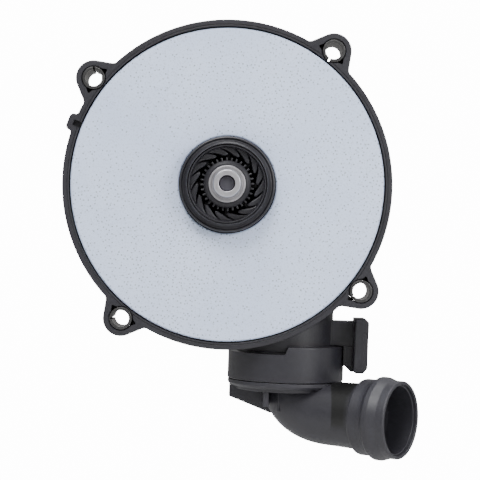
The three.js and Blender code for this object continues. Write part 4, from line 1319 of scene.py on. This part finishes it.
bearing_steel = turned_steel("bearing_ring_steel", (0.62, 0.62, 0.63), (0.5, 0.5, 0.51), 0.24, 0.08)
for end, low, high in (("front", *FRONT_BEARING_Y), ("rear", *REAR_BEARING_Y)):
    middle = (low + high) / 2
    inner, groove = INNER_RACE_R
    track = [(groove - GROOVE_DEPTH, middle + dy, 0.4) for dy in (-0.9, 0.9)]
    race = [(inner, high, 0.2), (inner, low, 0.2), (groove, low, 0.2), (groove, middle - 1.4, 0.1)]
    race += track + [(groove, middle + 1.4, 0.1), (groove, high, 0.2)]
    race = lathed(end + "_inner_race", rounded(race), 72)
    fit(race, bearing_steel, "rotor", [end + "_bearing_inner_ring"])
    groove, outer = OUTER_RACE_R
    track = [(groove + GROOVE_DEPTH, middle + dy, 0.4) for dy in (0.9, -0.9)]
    race = [(outer, low, 0.3), (outer, high, 0.3), (groove, high, 0.2), (groove, middle + 1.4, 0.1)]
    race += track + [(groove, middle - 1.4, 0.1), (groove, low, 0.2)]
    race = lathed(end + "_outer_race", rounded(race), 72)
    fit(race, bearing_steel, "housing", [end + "_bearing_outer_ring"])

    ball = [(0, middle - BALL_R)]
    for step in range(1, BALL_STEPS):
        turn = math.pi * step / BALL_STEPS
        ball.append((BALL_R * math.sin(turn), middle - BALL_R * math.cos(turn)))
    ball.append((0, middle + BALL_R))
    ball = lathed("ball", ball, 24, centre=(BALL_PITCH_R, 0))
    balls = repeated(end + "_balls", ball, BALL_COUNT, 0, 360 / BALL_COUNT, bearing_steel)
    cage = ring_of(CAGE_R, (middle - CAGE_HALF, middle + CAGE_HALF))
    cage = rounded([(*corner, 0.2) for corner in cage])
    cage = lathed(end + "_cage_with_balls", cage, 96)
    shaped(cage, [balls])
    fit(cage, bearing_steel, end + "_cage", [end + "_ball_cage"])


# Armature. A stack of punched steel sheets on the shaft holds enamelled copper coils in twelve
# slots. The coils bulge out at both ends, and their leads run to the bars of the commutator.
CORE_R = 24.2
CORE_Y = [62, 86]
SLOT_COUNT = 12
SLOT_ROOT_R = 13.5
SLOT_HALF = 1.8
COIL_Y = [57.1, 90.5]
COIL_R = [9.2, 21.4]
REAR_COIL_R = 10.7
COIL_BAR_HALF = 1.45
SHEET_PITCH = 0.5
BAR_COUNT = 24
COMMUTATOR_R = 9
COMMUTATOR_Y = [91.2, 101]


def layered(name, light, dark, roughness, pitch, metallic=1.0):
    """Thin layers across the shaft's axis: the edges of stacked sheets, or turns of wire."""
    finish, nodes, sockets = plain_finish(name, light, roughness, Metallic=metallic)
    place = nodes.add("ShaderNodeTexCoord", output=3)
    along = nodes.add("ShaderNodeSeparateXYZ", inputs={0: place}).output("Y")
    edge = (along * (2 * math.pi / (pitch * MM))).sum("SINE") * 0.5 + 0.5
    speckle = nodes.noise(place, 260.0, 3.0)
    mixed = edge * 0.5 + speckle * 0.5
    stops = [(0.2, dark), (0.8, light)]
    nodes.feed(sockets["Base Color"], nodes.ramp(stops, mixed))
    nodes.feed(sockets["Roughness"], speckle * 0.3 + (roughness - 0.15))
    nodes.feed(sockets["Normal"], nodes.bump(edge, 0.5, 0.00006))
    return finish


bright, dull = (0.36, 0.37, 0.38), (0.2, 0.2, 0.21)
sheet_steel = layered("stacked_sheet_steel", bright, dull, 0.42, SHEET_PITCH)
bright, dull = (0.58, 0.2, 0.075), (0.3, 0.085, 0.03)
coil_copper = layered("enamelled_copper_wire", bright, dull, 0.34, 0.6)
bright, dull = (0.72, 0.36, 0.2), (0.55, 0.25, 0.13)
bar_copper = turned_steel("commutator_copper", bright, dull, 0.3, 0.12)

stack = [(SHAFT_R + 0.3, CORE_Y[0], 0), (CORE_R, CORE_Y[0], 0.3)]
stack += [(CORE_R, CORE_Y[1], 0.3), (SHAFT_R + 0.3, CORE_Y[1], 0)]
stack = lathed("armature_sheets", rounded(stack), 144)
slot = [(SLOT_ROOT_R, -SLOT_HALF, 0.8), (22.6, -SLOT_HALF, 0.5), (22.9, -1, 0), (26, -1, 0)]
slot = rounded(slot + [(x, -z, r) for x, z, r in slot[::-1]])
slot = slab("slot", slot, CORE_Y[0] - 1, CORE_Y[1] + 1, (0, 0))
shaped(stack, cut=[repeated("slots", slot, SLOT_COUNT, 0, 360 / SLOT_COUNT, sheet_steel)])
fit(stack, sheet_steel, "rotor", ["armature_core"])

front_coils = [(COIL_R[0], COIL_Y[0], 1.5), (COIL_R[1], COIL_Y[0], 2)]
front_coils += [(COIL_R[1], CORE_Y[0] - 0.3, 0.4), (COIL_R[0], CORE_Y[0] - 0.3, 0.4)]
rear_coils = [(REAR_COIL_R, CORE_Y[1] + 0.3, 0.4), (COIL_R[1], CORE_Y[1] + 0.3, 0.4)]
rear_coils += [(COIL_R[1], COIL_Y[1], 2), (REAR_COIL_R, COIL_Y[1], 1.5)]
coils = lathed("armature_coils", rounded(front_coils), 120)
bar_z = (-COIL_BAR_HALF, COIL_BAR_HALF)
bar = block("bar", (14, 21), (CORE_Y[0] - 2, CORE_Y[1] + 2), bar_z, 0, 0.6)
bars = repeated("bars", bar, SLOT_COUNT, 0, 360 / SLOT_COUNT, coil_copper)
valley = block("valley", (17.5, 24), (COIL_Y[0] - 2, COIL_Y[0] + 2.2), (-0.9, 0.9), 0, 0.4)
valleys = repeated("valleys", valley, SLOT_COUNT, 15, 360 / SLOT_COUNT, coil_copper)
shaped(coils, [lathed("rear_coils", rounded(rear_coils), 120), bars], [valleys])
fit(coils, coil_copper, "rotor", ["armature_winding"])

commutator = [
    (SHAFT_R + 0.3, COMMUTATOR_Y[0], 0.2),
    (COMMUTATOR_R + 1.2, COMMUTATOR_Y[0], 0.2),
    (COMMUTATOR_R + 1.2, COMMUTATOR_Y[0] + 1.2, 0.2),
    (COMMUTATOR_R, COMMUTATOR_Y[0] + 1.2, 0.3),
    (COMMUTATOR_R, COMMUTATOR_Y[1], 0.4),
    (SHAFT_R + 0.3, COMMUTATOR_Y[1], 0.2),
]
commutator = lathed("commutator_drum", rounded(commutator), 96)
gap_y = (COMMUTATOR_Y[0] - 1, COMMUTATOR_Y[1] + 1)
gap = block("gap", (COMMUTATOR_R - 0.5, 12), gap_y, (-0.2, 0.2))
gaps = repeated("gaps", gap, BAR_COUNT, 5, 360 / BAR_COUNT, bar_copper)
shaped(commutator, cut=[gaps])
fit(commutator, bar_copper, "rotor", ["commutator"])


# Motor case. A deep-drawn steel can with a rounded front edge holds two ferrite arc magnets, and a
# pressed steel plate carries the front bearing. Three screws hold the plate to the fan housing.
CAN_R = 31
CAN_WALL = 1.6
CAN_Y = [49.1, 91]
CAN_LIP_R = 27
MAGNET_R = [25.2, 29.1]
MAGNET_Y = [60, 88]
MAGNET_HALF_DEG = 68
MAGNET_STEPS = 40
PLATE_FRONT_Y = 46.3
PLATE_BORE_R = 8
BEARING_BOSS_R = 13
BEARING_SEAT_R = 11.2

drawn_steel = turned_steel("drawn_sheet_steel", (0.4, 0.41, 0.42), (0.33, 0.335, 0.34), 0.36, 0.5)
can = [
    (CAN_LIP_R, CAN_Y[0], 0.3),
    (CAN_R, CAN_Y[0], 2.4),
    (CAN_R, CAN_Y[1], 0.3),
    (CAN_R - CAN_WALL, CAN_Y[1], 0.3),
    (CAN_R - CAN_WALL, CAN_Y[0] + CAN_WALL, 1),
    (CAN_LIP_R, CAN_Y[0] + CAN_WALL, 0.3),
]
can = lathed("motor_can_shell", rounded(can), 160)
fit(can, drawn_steel, "housing", ["motor_can"])

plate = [
    (PLATE_BORE_R, PLATE_FRONT_Y, 0.2),
    (CAN_R, PLATE_FRONT_Y, 0.5),
    (CAN_R, CAN_Y[0] - 0.3, 0.3),
    (BEARING_BOSS_R, CAN_Y[0] - 0.3, 0.8),
    (BEARING_BOSS_R, FRONT_BEARING_Y[1], 0.5),
    (BEARING_SEAT_R, FRONT_BEARING_Y[1], 0.3),
    (BEARING_SEAT_R, FRONT_BEARING_Y[0] - 0.3, 0.2),
    (PLATE_BORE_R, FRONT_BEARING_Y[0] - 0.3, 0.2),
]
plate = lathed("bearing_plate", rounded(plate), 160)
hole = drill("hole", PILOT_R, (44, 51), centre=(MOTOR_SCREW_PITCH_R, 0))
shaped(plate, cut=[repeated("holes", hole, 3, 90, 120, drawn_steel)])
fit(plate, drawn_steel, "housing", ["front_end_plate"])

ferrite = moulded_plastic("sintered_ferrite", 0.05, 0.62, 0.5)
for side, first in (("right", -MAGNET_HALF_DEG), ("left", 180 - MAGNET_HALF_DEG)):
    angles = [first + 2 * MAGNET_HALF_DEG * i / MAGNET_STEPS for i in range(MAGNET_STEPS + 1)]
    arc = [polar(MAGNET_R[1], angle) for angle in angles]
    arc += [polar(MAGNET_R[0], angle) for angle in reversed(angles)]
    magnet = slab(side + "_arc_magnet", arc, *MAGNET_Y, (0.4, 0.4))
    fit(magnet, ferrite, "housing", ["magnet_" + side])


# Rear end cap. A black nylon cap closes the motor. Ribs run from its shoulder to the boss round
# the rear bearing, and a shroud for the connector stands on top, with a latch and two flat pins.
CAP_Y = [91.3, 112]
BACK_Y = 110
SHOULDER_Y = 108.6
CAP_BOSS_R = 14
SOCKET_X = 9.5
SOCKET_Y = [94, 107]
SOCKET_Z = [26, 46]
SOCKET_WALL = 2.2
SOCKET_FLOOR_Z = 33
LATCH_Y = 109
PIN_X = 4
PIN_Y = 100.5
PIN_Z = [28, 43]
PIN_SIZE = [2.8, 0.8]
CAP_ROOF = 3.4
CAP_RIB_COUNT = 12
CAP_RIB_HALF = 0.7
GUIDE_X = [2.4, 3.4]

cap = [
    (CAN_R - 2, CAP_Y[0], 0.3),
    (CAN_R, CAP_Y[0], 0.4),
    (CAN_R, SHOULDER_Y, 2),
    (CAN_R - 3, BACK_Y, 1.2),
    (CAP_BOSS_R, BACK_Y, 0.8),
    (CAP_BOSS_R - 0.3, CAP_Y[1], 0.8),
    (0, CAP_Y[1], 0),
    (0, REAR_BEARING_Y[1] + 0.3, 0),
    (BEARING_SEAT_R, REAR_BEARING_Y[1] + 0.3, 0.2),
    (BEARING_SEAT_R, REAR_BEARING_Y[0], 0.3),
    (BEARING_BOSS_R, REAR_BEARING_Y[0], 0.3),
    (BEARING_BOSS_R, CAP_Y[1] - CAP_ROOF, 0.5),
    (CAN_R - 2, CAP_Y[1] - CAP_ROOF, 1),
]
cap = lathed("rear_cap_moulding", rounded(cap), 160)


def socket_outline(inset, corner):
    """The connector's outline, seen from above, drawn in by that distance."""
    wide, low, high = SOCKET_X - inset, SOCKET_Y[0] + inset, SOCKET_Y[1] - inset
    return rounded([(x, y, corner) for x, y in ring_of((-wide, wide), (low, high))])


shroud = slab("shroud", socket_outline(0, 1.6), *SOCKET_Z, (0, 0.5), axis="Z")
room_z = (SOCKET_FLOOR_Z, SOCKET_Z[1] + 1)
room = slab("room", socket_outline(SOCKET_WALL, 0.8), *room_z, (0, 0), axis="Z")
low, high = CAP_Y[0] - 1, CAP_Y[1] - CAP_ROOF
inside = rounded([(0, low, 0), (CAN_R - 2, low, 0), (CAN_R - 2, high, 1)])
inside = lathed("inside", inside + [(0, high)], 96)
shaped(shroud, cut=[inside])
latch = block("latch", (-2.5, 2.5), (SOCKET_Y[1] - 0.5, LATCH_Y), (38, 42), 0.5, 0.3)
rib_x, rib_y = (CAP_BOSS_R - 1, CAN_R - 2.6), (BACK_Y - 2, CAP_Y[1] - 0.7)
rib = block("rib", rib_x, rib_y, (-CAP_RIB_HALF, CAP_RIB_HALF), 0.35, 0)
ribs = repeated("ribs", rib, CAP_RIB_COUNT, 15, 360 / CAP_RIB_COUNT, black_plastic)
guides, slots = [], []
half_wide, half_thick = PIN_SIZE[0] / 2, PIN_SIZE[1] / 2
for side in (-1, 1):
    x = sorted(side * edge for edge in GUIDE_X)
    guides.append(block("guide", x, (SOCKET_Y[0] - 0.6, SOCKET_Y[0] + 1), (34, 45)))
    x = [side * PIN_X - half_wide - 0.2, side * PIN_X + half_wide + 0.2]
    y = [PIN_Y - half_thick - 0.2, PIN_Y + half_thick + 0.2]
    slots.append(block("slot", x, y, (20, 40)))
shaped(cap, [shroud, ribs], [room])
shaped(cap, [latch, *guides], slots)
fit(cap, black_plastic, "housing", ["rear_end_cap"])

tin = turned_steel("tinned_brass", (0.7, 0.68, 0.64), (0.58, 0.56, 0.52), 0.34, 0.3)
for side, x in (("left", -PIN_X), ("right", PIN_X)):
    outline = [
        (x - half_wide, PIN_Z[0], 0),
        (x + half_wide, PIN_Z[0], 0),
        (x + half_wide, PIN_Z[1] - 1.2, 0.3),
        (x + 0.6, PIN_Z[1], 0.2),
        (x - 0.6, PIN_Z[1], 0.2),
        (x - half_wide, PIN_Z[1] - 1.2, 0.3),
    ]
    pin_y = (PIN_Y - half_thick, PIN_Y + half_thick)
    pin = slab(side + "_blade_pin", rounded(outline), *pin_y, (0.12, 0.12))
    fit(pin, tin, "housing", ["connector_pin_" + side])


# Brush gear. Two carbon brushes press on the commutator from above and below. Each slides in a
# box on a moulded ring behind the coils, and a wound wire spring pushes it inwards as it wears.
HOLDER_R = [13.5, 28.6]
HOLDER_Y = [91.6, 93.2]
BRUSH_HALF = 3
BRUSH_Y = 97
BRUSH_Z = [9.2, 18]
BOX_GAP = 0.3
BOX_WALL = 1
BOX_Z = [11, 27]
SPRING_TOP_Z = 25.2
SPRING_R = 2.1
WIRE_R = 0.35
SPRING_TURNS = 4

(inner, outer), (low, high) = HOLDER_R, HOLDER_Y
holder = [(inner, low, 0.2), (outer, low, 0.4), (outer, high, 0.4), (inner, high, 0.2)]
holder = lathed("brush_holder_ring", rounded(holder), 120)
outer = BRUSH_HALF + BOX_GAP + BOX_WALL
room = BRUSH_HALF + BOX_GAP
brush_box = block("brush_box", BOX_Z, (92, BRUSH_Y + outer), (-outer, outer), 0.4, 0.4)
boxes = repeated("boxes", brush_box, 2, 90, 180, black_plastic)
guide_y = (BRUSH_Y - room, BRUSH_Y + room)
guide = block("guide", (5, SPRING_TOP_Z + 0.3), guide_y, (-room, room))
guides = repeated("guides", guide, 2, 90, 180, black_plastic)
shaped(holder, [boxes], [guides])
fit(holder, black_plastic, "housing", ["brush_plate"])

bright, dull = (0.05, 0.047, 0.045), (0.026, 0.025, 0.024)
carbon = layered("pressed_carbon", bright, dull, 0.5, 0.35, 0.25)
bright, dull = (0.46, 0.46, 0.47), (0.34, 0.34, 0.35)
spring_steel = turned_steel("spring_wire_steel", bright, dull, 0.3, 0.2)

nodes, given = geometry_nodes(
    "wound_wire",
    [
        ("Turns", "Float"),
        ("Coil radius", "Float"),
        ("Length", "Float"),
        ("Wire radius", "Float"),
        ("Finish", "Material"),
    ],
)
coil = nodes.add(
    "GeometryNodeCurveSpiral",
    inputs={
        "Resolution": 40,
        "Rotations": given.output("Turns"),
        "Start Radius": given.output("Coil radius"),
        "End Radius": given.output("Coil radius"),
        "Height": given.output("Length"),
    },
)
section = {"Resolution": 14, "Radius": given.output("Wire radius")}
section = nodes.add("GeometryNodeCurvePrimitiveCircle", inputs=section)
wire = {"Curve": coil, "Profile Curve": section, "Fill Caps": True}
wire = nodes.add("GeometryNodeCurveToMesh", inputs=wire)
finish_off(nodes, given, wire)
coil_tree = nodes.tree
coil_low = BRUSH_Z[1] + BOX_GAP + WIRE_R
coil_values = {
    "Turns": SPRING_TURNS,
    "Coil radius": SPRING_R * MM,
    "Length": (SPRING_TOP_Z - WIRE_R - coil_low) * MM,
    "Wire radius": WIRE_R * MM,
    "Finish": spring_steel,
}
for place, side in (("upper", 1), ("lower", -1)):
    x, y = (-BRUSH_HALF, BRUSH_HALF), (BRUSH_Y - BRUSH_HALF, BRUSH_Y + BRUSH_HALF)
    z = sorted(side * end for end in BRUSH_Z)
    brush = block(place + "_carbon_brush", x, y, z, 0.35, 0.35)
    shaped(brush, cut=[drill("bow", COMMUTATOR_R + 0.25, (90, 104), 96)])
    fit(brush, carbon, place + "_brush", ["brush_" + place])
    spring = grown(place + "_spring_wire", coil_tree, coil_values)
    spring.data.transform(Matrix.Translation((0, BRUSH_Y * MM, coil_low * MM)))
    if side < 0:
        turned(spring, 180, "Y")
    fit(spring, spring_steel, "housing", ["brush_spring_" + place])
    end = (0, BRUSH_Y * MM, side * SPRING_TOP_Z * MM)
    place + "_brush_slide"
    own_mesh(spring)


sizes = {"cad": [list(cad_low), list(cad_high)], "visual": [list(p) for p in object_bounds()]}
